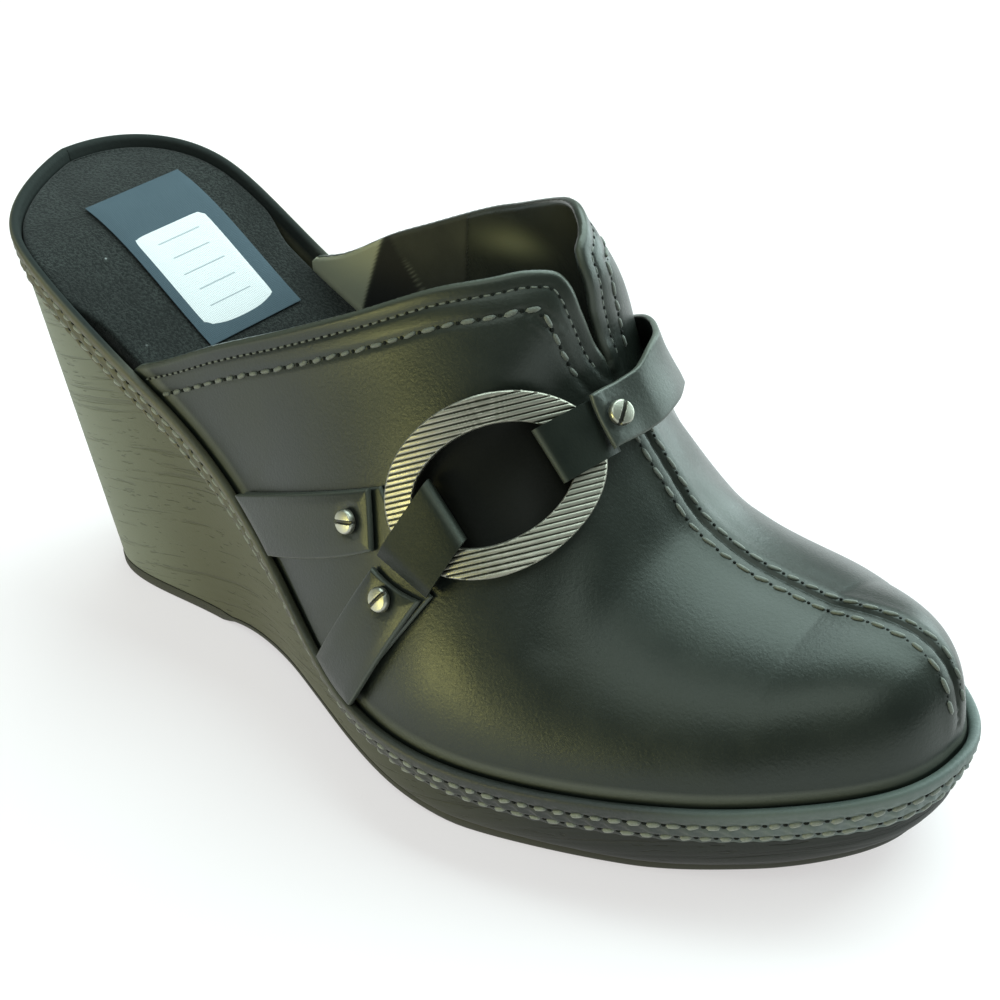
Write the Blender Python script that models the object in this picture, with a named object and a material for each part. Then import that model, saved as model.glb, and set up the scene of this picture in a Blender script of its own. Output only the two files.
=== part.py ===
# Open-back platform clog on a high wedge, right shoe.
# Built in millimetres with the heel's back at x = 0, the toe towards +X,
# the outer side towards -Y and the floor at z = 0; written out in metres.
import bpy
import bmesh
import math
import numpy as np

for old in list(bpy.data.objects):
    bpy.data.objects.remove(old, do_unlink=True)

# Leading sizes in millimetres
length = 246.2
ball_width = 96.4
heel_height = 98.4
instep_height = 116.0
toe_spring = 11.6
gap = 0.3
feather_drop = 1.0   # feather edge of the upper under the rim

# Leather, band and sole thicknesses
band_wall = 2.2
band_height = 9.6
lip_round = 0.8
band_lean_heel = 0.8
band_lean_fore = 3.0
upper_inset = 2.9
upper_wall = 2.0
upper_tuck = 8.4
insole_drop = 2.0
insole_play = 0.5
strap_wall = 1.6
base_wall = 1.0
loop_wall = 1.2
label_wall = 0.5

# Ring and studs
ring_half_length = 22.0
ring_half_width = 16.5
ring_band = 5.9
ring_wall = 2.0
stud_width = 5.0
stud_height = 1.5
slot_width = 0.7
slot_depth = 0.5

# Mesh density
outline_steps = 46
upper_rows = 11
ring_steps = 56

# Outline of the platform: shares of the length, then of the ball width
outline_table = {
    "share":   [0, .02, .08, .18, .32, .46, .60, .72, .83, .92, .98, 1],
    "lateral": [0, .136, .318, .360, .350, .449, .552, .513, .4145, .292, .1665, .002],
    "medial":  [0, .185, .289, .322, .352, .368, .448, .4375, .419, .2815, .1335, -.002],
}
# Height of the rim: shares of the length and of the heel height
rim_table = {
    "share":  [0, .10, .25, .40, .55, .70, .85, 1],
    "height": [1, .924, .668, .441, .239, .208, .230, .295],
}
# Underside: shares of the length, height as a share of the toe spring,
# thickness of the rubber and inset of the edge in millimetres
under_table = {
    "share":  [0, .27, .285, .38, .45, .60, .66, .79, .88, 1],
    "height": [0, 0, .12, .38, .52, .17, 0, 0, .21, 1],
    "rubber": [3.0, 3.0, 1.4, 1.4, 1.4, 1.8, 2.4, 2.4, 2.2, 2.0],
    "inset":  [8.6, 6.0, 5.7, 4.4, 3.5, 5.2, 6.2, 7.6, 8.4, 8.7],
}
# Leaning sections of the upper. Each starts on the feather edge at a share of
# the length and ends on the ridge, further forward and up by the shares given.
section_table = {
    "share":   [.203, .305, .406, .487, .569, .642, .699, .7555, .812, .873],
    "forward": [.387, .309, .224, .179, .101, .055, .0325, .0063, 0, 0],
    "height":  [1.328, 1.177, 1.0, .883, .736, .640, .541, .468, .425, .4073],
}
# Fullness of the sections: 2 is an ellipse, more is squarer
fullness_table = {
    "share":   [.244, .447, .569, .670, .812, .942],
    "lateral": [1.95, 1.80, 1.62, 1.68, 2.00, 2.20],
    "medial":  [1.94, 2.00, 1.80, 1.53, 1.79, 2.30],
}
ridge_table = {
    "share": [.244, .569, .772, 1.007],
    "side":  [0, 2.85, 3.14, 4.1],
}
# Topline and throat: how far up its section each panel goes
top_table = {
    "lateral": {
        "share": [.2345, .250, .2674, .309, .353, .396, .4266, .4466, .4694, .4868, .5069,
                  .527, .555, .5788],
        "rise":  [.01, .069, .139, .278, .432, .602, .718, .807, .880, .897, .907,
                  .927, .961, 1],
    },
    "medial": {
        "share": [.2195, .2327, .254, .277, .315, .341, .371, .398, .421, .437, .449,
                  .461, .480, .515, .545, .5788],
        "rise":  [.01, .05, .151, .232, .363, .448, .568, .70, .82, .890, .955,
                  1.030, 1.050, 1.050, 1.025, 1],
    },
}
throat_share = .5788
toe_reach = 30.0
toe_power = 2.97


def steady(x, xs, ys):
    # Monotone cubic through the table, level beyond its ends
    xs = np.asarray(xs, float)
    ys = np.asarray(ys, float)
    x = np.clip(np.asarray(x, float), xs[0], xs[-1])
    h = np.diff(xs)
    d = np.diff(ys) / h
    m = np.zeros_like(ys)
    for i in range(1, len(xs) - 1):
        if d[i - 1] * d[i] > 0:
            w1 = 2 * h[i] + h[i - 1]
            w2 = h[i] + 2 * h[i - 1]
            m[i] = (w1 + w2) / (w1 / d[i - 1] + w2 / d[i])
    m[0] = d[0]
    m[-1] = d[-1]
    i = np.clip(np.searchsorted(xs, x, side="right") - 1, 0, len(h) - 1)
    t = (x - xs[i]) / h[i]
    a = ys[i] * (1 + 2 * t) * (1 - t) ** 2
    b = ys[i + 1] * t * t * (3 - 2 * t)
    c = h[i] * (m[i] * t * (1 - t) ** 2 + m[i + 1] * t * t * (t - 1))
    return a + b + c


def smooth(x, xs, ys):
    # Cubic spline with its end thirds running straight on
    xs = np.asarray(xs, float)
    ys = np.asarray(ys, float)
    x = np.asarray(x, float)
    n = len(xs)
    h = np.diff(xs)
    a = np.zeros((n, n))
    r = np.zeros(n)
    a[0, :3] = [-1 / h[0], 1 / h[0] + 1 / h[1], -1 / h[1]]
    a[-1, -3:] = [-1 / h[-2], 1 / h[-2] + 1 / h[-1], -1 / h[-1]]
    for i in range(1, n - 1):
        a[i, i - 1:i + 2] = [h[i - 1], 2 * (h[i - 1] + h[i]), h[i]]
        r[i] = 6 * ((ys[i + 1] - ys[i]) / h[i] - (ys[i] - ys[i - 1]) / h[i - 1])
    m = np.linalg.solve(a, r)
    i = np.clip(np.searchsorted(xs, x, side="right") - 1, 0, n - 2)
    t = x - xs[i]
    s = xs[i + 1] - x
    k = h[i]
    cubic = (m[i] * s ** 3 + m[i + 1] * t ** 3) / (6 * k)
    line = (ys[i] / k - m[i] * k / 6) * s + (ys[i + 1] / k - m[i + 1] * k / 6) * t
    return cubic + line


def half_outline(side, inset, steps=None, angle=None):
    # One half of the outline, heel to toe, moved inwards along its normal
    t = np.linspace(0, math.pi, steps + 1) if angle is None else angle
    knots = np.arccos(1 - 2 * np.asarray(outline_table["share"], float))
    table = np.asarray(outline_table[side]) * ball_width
    e = 1e-4
    w = smooth(t, knots, table)
    dw = (smooth(t + e, knots, table) - smooth(t - e, knots, table)) / (2 * e)
    x = length * (1 - np.cos(t)) / 2
    dx = length * np.sin(t) / 2
    n = np.hypot(dx, dw)
    if callable(inset):
        inset = inset(x)
    return x + dw / n * inset, w - dx / n * inset


def loop(inset, steps=outline_steps):
    # Closed outline: outer side heel to toe, then the inner side back
    lx, lw = half_outline("lateral", inset, steps)
    mx, mw = half_outline("medial", inset, steps)
    x = np.concatenate([lx, mx[-2:0:-1]])
    y = np.concatenate([-lw, mw[-2:0:-1]])
    return x, y


def rim(x):
    share = np.asarray(x) / length
    return steady(share, rim_table["share"], rim_table["height"]) * heel_height


def under(x):
    share = np.asarray(x) / length
    return steady(share, under_table["share"], under_table["height"]) * toe_spring


def rubber(x):
    return np.interp(np.asarray(x) / length, under_table["share"], under_table["rubber"])


def under_inset(x):
    return steady(np.asarray(x) / length, under_table["share"], under_table["inset"])


def band_lean(x):
    # How far the band's lower edge stands in from its lip
    t = np.clip((x / length - .35) / .25, 0, 1)
    return band_lean_heel + (band_lean_fore - band_lean_heel) * t * t * (3 - 2 * t)


def tuck_lean(x, drop):
    # How far the upper stands in behind the band at a depth under the rim
    return .9 * band_lean(x) * (drop - feather_drop) / upper_tuck


dense = np.linspace(0, math.pi, 721)
feather = {side: half_outline(side, upper_inset, angle=dense) for side in ("lateral", "medial")}
toe_end = float(feather["lateral"][0].max())


def feather_width(x, side):
    fx, fw = feather[side]
    lo = int(np.argmin(fx))
    hi = int(np.argmax(fx)) + 1
    return np.interp(x, fx[lo:hi], fw[lo:hi])


def skin(x, c):
    # Outer face of the upper. x is the section's foot on the feather edge and
    # c runs from -1 at the outer feather edge over 0, the ridge, to 1.
    x, c = np.broadcast_arrays(np.asarray(x, float), np.asarray(c, float))
    share = x / length
    first = section_table["share"][0]
    last = section_table["share"][-1]
    held = np.clip(share, first, last)
    forward = steady(held, section_table["share"], section_table["forward"]) * length
    top = steady(held, section_table["share"], section_table["height"]) * instep_height
    base = rim(x) - feather_drop
    close = np.clip((toe_end - x) / toe_reach, 0, 1)
    ends = (1 - (1 - close) ** toe_power) ** (1 / toe_power)
    level = section_table["height"][-1] * instep_height - (rim(last * length) - feather_drop)
    height = np.where(share > last, level, top - base) * ends
    ridge_share = (x + forward) / length
    ridge = steady(ridge_share, ridge_table["share"], ridge_table["side"]) * ends
    out = c < 0
    full = np.where(out, np.interp(share, fullness_table["share"], fullness_table["lateral"]),
                    np.interp(share, fullness_table["share"], fullness_table["medial"]))
    a = (1 - np.abs(c)) * math.pi / 2
    across = np.clip(np.cos(a), 0, 1) ** (2 / full)
    rise = np.clip(np.sin(a), 0, 1) ** (2 / full)
    y_foot = np.where(out, -feather_width(x, "lateral"), feather_width(x, "medial"))
    y = ridge + (y_foot - ridge) * across
    return np.stack([x + forward * rise, y, base + height * rise], -1)


def skin_normal(x, c):
    # Outward normal from two small steps across the skin, taken by the angle
    # that rounds off the toe so that they stay even up to its tip
    x, c = np.broadcast_arrays(np.asarray(x, float), np.asarray(c, float))
    k = 0.004
    c0 = np.clip(c - k, -1, 1)
    c1 = np.clip(c + k, -1, 1)
    angle = np.arccos(np.clip(1 - 2 * x / toe_end, -1, 1))
    a0 = toe_end * (1 - np.cos(np.clip(angle - .004, 0, math.pi - .012))) / 2
    a1 = toe_end * (1 - np.cos(np.clip(angle + .004, 0, math.pi - .004))) / 2
    along = skin(a1, c) - skin(a0, c)
    over = skin(x, c1) - skin(x, c0)
    n = np.cross(over, along)
    n = n / np.maximum(np.linalg.norm(n, axis=-1, keepdims=True), 1e-9)
    return -n


# Placing: the bounding box is centred on the origin's plan
plan_x, plan_y = loop(0)
shift = np.array([(plan_x.min() + plan_x.max()) / 2, (plan_y.min() + plan_y.max()) / 2, 0])
materials = {}


def material(name, colour, rough, metal=0.0):
    if name in materials:
        return materials[name]
    made = bpy.data.materials.new(name)
    made.use_nodes = True
    shader = made.node_tree.nodes["Principled BSDF"]
    shader.inputs["Base Color"].default_value = (*colour, 1)
    shader.inputs["Roughness"].default_value = rough
    shader.inputs["Metallic"].default_value = metal
    made.diffuse_color = (*colour, 1)
    materials[name] = made
    return made


leather = ("clog_leather", (0.035, 0.040, 0.036), 0.38)
olive = ("wedge_olive", (0.110, 0.115, 0.080), 0.60)
trim = ("band_leather", (0.075, 0.080, 0.062), 0.55)
dark_rubber = ("outsole_rubber", (0.040, 0.042, 0.036), 0.70)
suede = ("insole_suede", (0.012, 0.012, 0.011), 0.95)
cloth = ("label_cloth", (0.090, 0.120, 0.150), 0.80)
silver = ("antique_silver", (0.55, 0.54, 0.48), 0.32, 1.0)


def make(name, points, faces, look, flat=False):
    mesh = bpy.data.meshes.new(name)
    points = (np.asarray(points, float) - shift) * 0.001
    mesh.from_pydata([tuple(p) for p in points], [], [tuple(f) for f in faces])
    work = bmesh.new()
    work.from_mesh(mesh)
    bmesh.ops.remove_doubles(work, verts=work.verts, dist=0.00001)
    bmesh.ops.dissolve_degenerate(work, edges=work.edges, dist=0.00001)
    bmesh.ops.recalc_face_normals(work, faces=work.faces)
    work.to_mesh(mesh)
    work.free()
    mesh.update()
    piece = bpy.data.objects.new(name, mesh)
    bpy.context.scene.collection.objects.link(piece)
    mesh.materials.append(material(*look))
    if not flat:
        for face in mesh.polygons:
            face.use_smooth = True
    mark_sharp(mesh)
    return piece


def mark_sharp(mesh):
    # Edges that turn more than 40 degrees stay crisp
    work = bmesh.new()
    work.from_mesh(mesh)
    for edge in work.edges:
        if len(edge.link_faces) == 2 and edge.calc_face_angle(0) > math.radians(40):
            edge.smooth = False
    work.to_mesh(mesh)
    work.free()


def rings_to_faces(rings, count, close=False):
    faces = []
    last = rings if close else rings - 1
    for r in range(last):
        s = (r + 1) % rings
        for i in range(count):
            j = (i + 1) % count
            faces.append((r * count + i, r * count + j, s * count + j, s * count + i))
    return faces


def cap(start, steps):
    # Strips from the outer half of a loop to the inner half
    count = 2 * steps
    faces = []
    for i in range(steps):
        a = start + i
        b = start + i + 1
        c = start + (count - i - 1) % count
        d = start + (count - i) % count
        faces.append([v for k, v in enumerate((a, b, c, d)) if v not in (a, b, c, d)[:k]])
    return faces


def slab(name, levels, look):
    # Stack of outlines, each an inset and a height as functions of x
    points = []
    for inset, height in levels:
        x, y = loop(inset)
        points.append(np.stack([x, y, height(x)], 1))
    count = 2 * outline_steps
    faces = rings_to_faces(len(levels), count)
    faces += cap(0, outline_steps) + cap((len(levels) - 1) * count, outline_steps)
    return make(name, np.concatenate(points), faces, look)


# Outsole, with the thicker lift under the heel
def edge_of_rubber(x):
    return under_inset(x) - 0.2


slab("outsole", [
    (lambda x: under_inset(x) + 0.9, under),
    (edge_of_rubber, lambda x: under(x) + 0.7),
    (edge_of_rubber, lambda x: under(x) + rubber(x)),
], dark_rubber)

# Wedge, straight at the heel and rounded under the forefoot
top_inset = 0.9


def wedge_level(t):
    def inset(x):
        share = np.clip((x / length - .35) / .25, 0, 1)
        round_in = 1 - np.sqrt(1 - t ** 2.2)
        bow = t * (1 - share) + round_in * share
        start = top_inset + band_lean(x)
        return start + (under_inset(x) - start) * bow

    def height(x):
        low = under(x) + rubber(x) + gap
        high = rim(x) - band_height - gap
        return high + (low - high) * t
    return inset, height


wedge_steps = [0, .2, .4, .6, .76, .9, 1.0]
slab("wedge", [wedge_level(t) for t in wedge_steps], olive)


# Band around the platform: a closed strip with a rounded lip
band_profile = [(0, band_height), (0, 4.8), (0, lip_round), (.22, .22), (lip_round, 0),
                (band_wall - .4, .1), (band_wall, .6), (band_wall, 5.4), (band_wall, band_height)]
points = []
for inset, drop in band_profile:
    lean = (drop / band_height) ** 2
    x, y = loop(lambda at: inset + band_lean(at) * lean)
    points.append(np.stack([x, y, rim(x) - drop], 1))
make("platform_band", np.concatenate(points),
     rings_to_faces(len(band_profile), 2 * outline_steps, close=True), trim)


# Insole, narrower where the upper stands between it and the band
def insole_inset(drop, extra):
    def inset(x):
        t = np.clip((x - 38.0) / 10.0, 0, 1)
        t = t * t * (3 - 2 * t)
        heel = band_wall + gap + band_lean(x) * (drop / band_height) ** 2
        fore = upper_inset + tuck_lean(x, drop) + upper_wall + insole_play
        return heel + (fore - heel) * t + extra
    return inset


slab("insole", [
    (insole_inset(band_height, 0), lambda x: rim(x) - band_height),
    (insole_inset(insole_drop + 1.0, 0), lambda x: rim(x) - insole_drop - 1.0),
    (insole_inset(insole_drop, .9), lambda x: rim(x) - insole_drop),
], suede)

# Sewn label on the heel seat, left plain
label_box = {"start": .0873, "length": 38.8, "side": 2.3, "width": 27.9}
rows = 8
xs = label_box["start"] * length + label_box["length"] * np.linspace(0, 1, rows + 1)
ys = label_box["side"] + label_box["width"] * np.array([-.5, .5])
points = []
for lift in (gap, gap + label_wall):
    for x in xs:
        for y in ys:
            points.append((x, y, float(rim(x)) - insole_drop + lift))
faces = []
half = 2 * (rows + 1)
for r in range(rows):
    a = 2 * r
    faces.append((a, a + 1, a + 3, a + 2))
    faces.append((half + a, half + a + 2, half + a + 3, half + a + 1))
    faces.append((a, a + 2, half + a + 2, half + a))
    faces.append((a + 1, half + a + 1, half + a + 3, a + 3))
faces.append((0, half, half + 1, 1))
faces.append((2 * rows, 2 * rows + 1, half + 2 * rows + 1, half + 2 * rows))
make("insole_label", points, faces, cloth, flat=True)


# Upper: outer and inner faces of two panels, joined along the ridge
def top_rise(x, side):
    table = top_table[side]
    return steady(np.asarray(x) / length, table["share"], table["rise"])


def panel_columns(side):
    throat = throat_share * length
    start = top_table[side]["share"][0] * length
    rear = np.linspace(start, throat, 22)
    turn = np.linspace(math.acos(1 - 2 * throat / toe_end), math.pi - .05, 25)
    front = toe_end * (1 - np.cos(turn)) / 2
    return np.concatenate([rear, front[1:]])


def panel_grid(side, lift):
    sign = -1 if side == "lateral" else 1
    cols = panel_columns(side)
    rise = top_rise(cols, side)
    # Rows below the feather edge, then rows up to the topline
    share = np.linspace(0, 1, upper_rows + 1) ** 0.9
    grid = np.zeros((len(cols), upper_rows + 2, 3))
    for i, x in enumerate(cols):
        c = sign * (1 - share * rise[i])
        p = skin(x, c)
        n = skin_normal(x, c)
        p = p + n * lift
        grid[i, 1:] = p
        level = n[0, :2] / np.linalg.norm(n[0, :2])
        foot = p[0, :2] - level * float(tuck_lean(p[0, 0], upper_tuck + feather_drop))
        grid[i, 0, :2] = foot
        grid[i, 0, 2] = float(rim(min(foot[0], length))) - feather_drop - upper_tuck
    return grid


def upper_mesh():
    grids = {(s, k): panel_grid(s, -k * upper_wall) for s in ("lateral", "medial") for k in (0, 1)}
    points = []
    index = {}
    for key, grid in grids.items():
        start = len(points)
        flat = grid.reshape(-1, 3)
        points.extend(flat)
        index[key] = start + np.arange(len(flat)).reshape(grid.shape[:2])
    # The ridge is shared: both sides take the mean of the two
    joined = 21
    for k in (0, 1):
        a = index[("lateral", k)][joined:, -1]
        b = index[("medial", k)][joined:, -1]
        for i, j in zip(a, b):
            middle = (points[i] + points[j]) / 2
            points[i] = middle
            points[j] = middle.copy()
    faces = []
    for key, ids in index.items():
        n, m = ids.shape
        for i in range(n - 1):
            for j in range(m - 1):
                faces.append((ids[i, j], ids[i + 1, j], ids[i + 1, j + 1], ids[i, j + 1]))
    for side in ("lateral", "medial"):
        out = index[(side, 0)]
        inn = index[(side, 1)]
        n, m = out.shape
        for i in range(n - 1):
            faces.append((out[i, 0], out[i + 1, 0], inn[i + 1, 0], inn[i, 0]))
            if i < joined:
                faces.append((out[i, -1], out[i + 1, -1], inn[i + 1, -1], inn[i, -1]))
        for j in range(m - 1):
            faces.append((out[0, j], out[0, j + 1], inn[0, j + 1], inn[0, j]))
    # Toe: the two panels' last columns meet
    for k in (0, 1):
        a = index[("lateral", k)][-1]
        b = index[("medial", k)][-1]
        for j in range(len(a) - 1):
            faces.append((a[j], a[j + 1], b[j + 1], b[j]))
    a = index[("lateral", 0)][-1, 0]
    b = index[("medial", 0)][-1, 0]
    c = index[("medial", 1)][-1, 0]
    d = index[("lateral", 1)][-1, 0]
    faces.append((a, b, c, d))
    return points, faces


points, faces = upper_mesh()
make("upper", points, faces, leather)


# Straps lie on the skin. A patch gives, at shares along it, the foot of both edges
# as shares of the length, and their places on the section.
def patch_at(patch, u, v):
    t = patch["along"]
    x0 = length * np.interp(u, t, patch["x_back"])
    x1 = length * np.interp(u, t, patch["x_front"])
    c0 = np.interp(u, t, patch["c_back"])
    c1 = np.interp(u, t, patch["c_front"])
    x = x0 + (x1 - x0) * v
    c = c0 + (c1 - c0) * v
    return x, c


def ribbon(name, patch, profile, look, columns=5):
    # Closed profile of (along, lift) pairs, carried across the patch
    rows = len(profile)
    points = np.zeros((columns + 1, rows, 3))
    for j in range(columns + 1):
        v = j / columns
        u = np.array([p[0] for p in profile])
        low = np.array([p[1] for p in profile])
        high = np.array([p[2] if len(p) > 2 else p[1] for p in profile])
        x, c = patch_at(patch, u, v)
        points[j] = skin(x, c) + skin_normal(x, c) * (low + (high - low) * v)[:, None]
    faces = []
    for j in range(columns):
        for i in range(rows):
            k = (i + 1) % rows
            a = j * rows
            b = a + rows
            faces.append((a + i, a + k, b + k, b + i))
    half = rows // 2
    for start in (0, columns * rows):
        for i in range(half - 1):
            faces.append((start + i, start + i + 1, start + rows - 2 - i, start + rows - 1 - i))
    return make(name, points.reshape(-1, 3), faces, look)


def sheet_profile(stations, wall):
    # Lower side there, upper side back: stations are (along, lift, lift) rows
    low = [tuple(s) for s in stations]
    top = [(s[0], s[1] + wall, s[2] + wall if len(s) > 2 else s[1] + wall) for s in stations]
    return low + top[::-1]


def even(lift, steps):
    return [(k / steps, lift, lift) for k in range(steps + 1)]


level_base = gap
level_strap = gap + base_wall + gap

# Patch under the two side straps
base_patch = {
    "along":   [0, 1],
    "x_back":  [.3716, .4736],
    "x_front": [.5524, .5890],
    "c_back":  [-.970, -.649],
    "c_front": [-.970, -.635],
}
ribbon("strap_base", base_patch, sheet_profile(even(level_base, 8), base_wall), leather, 8)

rear_patch = {
    "along":   [0, 1],
    "x_back":  [.3696, .4695],
    "x_front": [.4261, .5057],
    "c_back":  [-.978, -.664],
    "c_front": [-.978, -.703],
}
ribbon("rear_strap", rear_patch, sheet_profile(even(level_strap, 7), strap_wall), leather, 4)

front_patch = {
    "along":   [0, 1],
    "x_back":  [.5085, .5150],
    "x_front": [.5626, .5833],
    "c_back":  [-.978, -.715],
    "c_front": [-.978, -.653],
}
ribbon("front_strap", front_patch, sheet_profile(even(level_strap, 7), strap_wall), leather, 4)

# Strap over the instep. It leaves the ring's loop, crosses the foot of the
# throat standing a little off the skin, and goes down the inner side.
instep_patch = {
    "along":   [0, .05, .10, .16, .25, .34, .45, .60, .80, 1],
    "x_back":  [.5833, .5873, .5942, .5955, .5605, .5361, .5077, .4712, .4305, .4021],
    "x_front": [.6474, .6507, .6552, .6560, .6458, .6182, .5849, .5443, .4955, .4590],
    "c_back":  [-.160, -.130, -.075, 0, .140, .280, .420, .600, .800, .978],
    "c_front": [-.170, -.130, -.070, 0, .150, .310, .450, .630, .810, .978],
}
instep_lift = [(0, 5.4, 5.1), (.03, 5.2, 4.9), (.06, 4.6, 4.5), (.10, 4.3, 3.7), (.16, 4.9, 3.9),
               (.25, 5.7, 4.5), (.34, 3.1, 3.9), (.45, .9, 2.4), (.60, .4, 1.0), (.80, .4, .4),
               (1, .4, .4)]
ribbon("instep_strap", instep_patch, sheet_profile(instep_lift, strap_wall), leather, 5)

# Oval ring, gently curved to follow the instep. Its own frame has one axis
# along the ring's length, one across it and one off the skin.
ring_seat = {"foot": .5777, "c": -.4125, "lift": 3.495}
ring_foot = ring_seat["foot"] * length
ring_centre = skin(ring_foot, ring_seat["c"]) + skin_normal(ring_foot, ring_seat["c"]) * ring_seat["lift"]
ring_away = np.array([.5190, -.6996, .4911])
ring_along = np.array([-.6299, -.7014, -.3335])
ring_away = ring_away / np.linalg.norm(ring_away)
ring_along = ring_along - ring_away * np.dot(ring_along, ring_away)
ring_along = ring_along / np.linalg.norm(ring_along)
ring_across = np.cross(ring_away, ring_along)
ring_bend = (-.0142, .0061, .0050)


def ring_point(x, y, h):
    # Place in the ring's frame; h is the height over its curved underside
    x, y, h = np.broadcast_arrays(*[np.asarray(v, float) for v in (x, y, h)])
    lift = h + ring_bend[0] * x * x + ring_bend[1] * y * y + ring_bend[2] * x * y
    return ring_centre + x[..., None] * ring_along + y[..., None] * ring_across \
        + lift[..., None] * ring_away


turn = np.linspace(0, 2 * math.pi, ring_steps, endpoint=False)
edge = .35
ring_profile = [(0, edge), (edge, 0), (ring_band - edge, 0), (ring_band, edge),
                (ring_band, ring_wall - edge), (ring_band - edge, ring_wall),
                (edge, ring_wall), (0, ring_wall - edge)]
points = []
for inset, h in ring_profile:
    a = ring_half_length - inset
    b = ring_half_width - inset
    points.append(ring_point(a * np.cos(turn), b * np.sin(turn), h))
make("ring", np.concatenate(points),
     rings_to_faces(len(ring_profile), ring_steps, close=True), silver)


# Loops that hold the ring: a folded strip over the band and into the hole
def loop_piece(name, corners, profile, look, columns=5):
    hole_a, hole_b, end_a, end_b = [np.array(p) for p in corners]
    rows = len(profile)
    s = np.array([p[0] for p in profile])
    h = np.array([p[1] for p in profile])
    points = np.zeros((columns + 1, rows, 3))
    for j in range(columns + 1):
        v = j / columns
        start = hole_a + (hole_b - hole_a) * v
        stop = end_a + (end_b - end_a) * v
        x = start[0] + (stop[0] - start[0]) * s
        y = start[1] + (stop[1] - start[1]) * s
        points[j] = ring_point(x, y, h)
    faces = []
    for j in range(columns):
        for i in range(rows):
            k = (i + 1) % rows
            a = j * rows
            b = a + rows
            faces.append((a + i, a + k, b + k, b + i))
    half = rows // 2
    for start in (0, columns * rows):
        for i in range(half - 1):
            faces.append((start + i, start + i + 1, start + rows - 2 - i, start + rows - 1 - i))
    return make(name, points.reshape(-1, 3), faces, look)


over = ring_wall + gap
top = over + loop_wall
lower_profile = [(.085, -.3), (.085, 1.2), (.085, over), (.40, over), (.62, over), (.76, over),
                 (.80, 1.6), (.88, .75), (1, .35),
                 (1, loop_wall + .35), (.92, 2.0), (.86, 2.7), (.78, top - .15), (.66, top),
                 (.40, top), (.09, top), (.02, top - .5), (0, -.3)]
loop_piece("lower_loop", [(10.4, -6.0), (8.4, 7.2), (27.0, 3.0), (20.4, 14.2)],
           lower_profile, leather)
upper_profile = [(.09, -.9), (.09, 1.2), (.09, over), (.38, over), (.60, over), (.80, over),
                 (.875, 1.7), (.885, .9), (.89, .2),
                 (1, .2), (.98, 1.7), (.93, 2.5), (.87, top - .35), (.78, top),
                 (.40, top), (.10, top), (.025, top - .5), (0, -.9)]
loop_piece("upper_loop", [(-10.8, -6.0), (-12.2, 5.3), (-23.7, -7.0), (-24.0, 4.2)],
           upper_profile, leather)


# Slotted studs: a low dome turned about the skin's normal, slot cut across
def stud(name, foot_share, c, lift, slot_turn):
    foot = foot_share * length
    axis = skin_normal(foot, c)
    base = skin(foot, c) + axis * lift
    side = np.cross(axis, np.array([0, 0, 1.0]))
    side = side / np.linalg.norm(side)
    rise = np.cross(side, axis)
    r = stud_width / 2
    profile = [(0, 0), (r - .2, 0), (r, .25), (r, stud_height - .55),
               (r - .35, stud_height - .2), (r * .5, stud_height - .05), (0, stud_height)]
    steps = 24
    points = []
    faces = []
    for radius, h in profile:
        for k in range(steps):
            t = 2 * math.pi * k / steps
            points.append(base + axis * h + radius * (side * math.cos(t) + rise * math.sin(t)))
    faces = rings_to_faces(len(profile), steps)
    piece = make(name, points, faces, silver)
    d = math.radians(slot_turn)
    long = side * math.cos(d) + rise * math.sin(d)
    wide = -side * math.sin(d) + rise * math.cos(d)
    box = []
    for a in (-1, 1):
        for b in (-1, 1):
            for h in (stud_height - slot_depth, stud_height + 1):
                box.append(base + long * a * (r + 1) + wide * b * slot_width / 2 + axis * h)
    box_faces = [(0, 1, 3, 2), (4, 6, 7, 5), (0, 4, 5, 1), (2, 3, 7, 6), (0, 2, 6, 4), (1, 5, 7, 3)]
    cutter = make(name + "_slot_cutter", box, box_faces, silver, flat=True)
    cutter.hide_render = True
    cutter.display_type = "WIRE"
    cut = piece.modifiers.new("slot", "BOOLEAN")
    cut.operation = "DIFFERENCE"
    cut.solver = "EXACT"
    cut.object = cutter
    return piece


stud_lift = level_strap + strap_wall + gap
stud("rear_stud", .4728, -.726, stud_lift, -14)
stud("front_stud", .5464, -.714, stud_lift, -53)
stud("instep_stud", .6259, -.118, 6.8, -50)
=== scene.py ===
# Looks for the open-back wedge clog. Shapes are worked out in millimetres:
# x runs from the heel's back to the toe, y to the inner side, z up from the floor.
import math
import bmesh
import bpy
import numpy as np
from mathutils import Matrix, Vector


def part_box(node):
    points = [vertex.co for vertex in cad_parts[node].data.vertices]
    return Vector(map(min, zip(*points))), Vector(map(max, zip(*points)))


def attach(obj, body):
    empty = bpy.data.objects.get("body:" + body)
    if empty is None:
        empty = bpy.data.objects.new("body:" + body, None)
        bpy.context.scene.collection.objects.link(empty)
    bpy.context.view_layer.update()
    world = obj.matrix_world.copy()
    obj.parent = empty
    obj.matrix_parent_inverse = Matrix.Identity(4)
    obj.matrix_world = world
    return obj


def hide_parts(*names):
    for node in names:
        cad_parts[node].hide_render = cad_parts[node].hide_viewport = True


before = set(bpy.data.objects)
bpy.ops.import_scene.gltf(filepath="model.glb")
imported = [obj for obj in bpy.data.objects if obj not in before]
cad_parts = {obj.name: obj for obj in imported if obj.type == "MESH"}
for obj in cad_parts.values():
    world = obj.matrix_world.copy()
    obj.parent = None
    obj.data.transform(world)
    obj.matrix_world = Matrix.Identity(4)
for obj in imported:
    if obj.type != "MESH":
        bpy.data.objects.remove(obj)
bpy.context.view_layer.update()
print("frame loaded")

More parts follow.
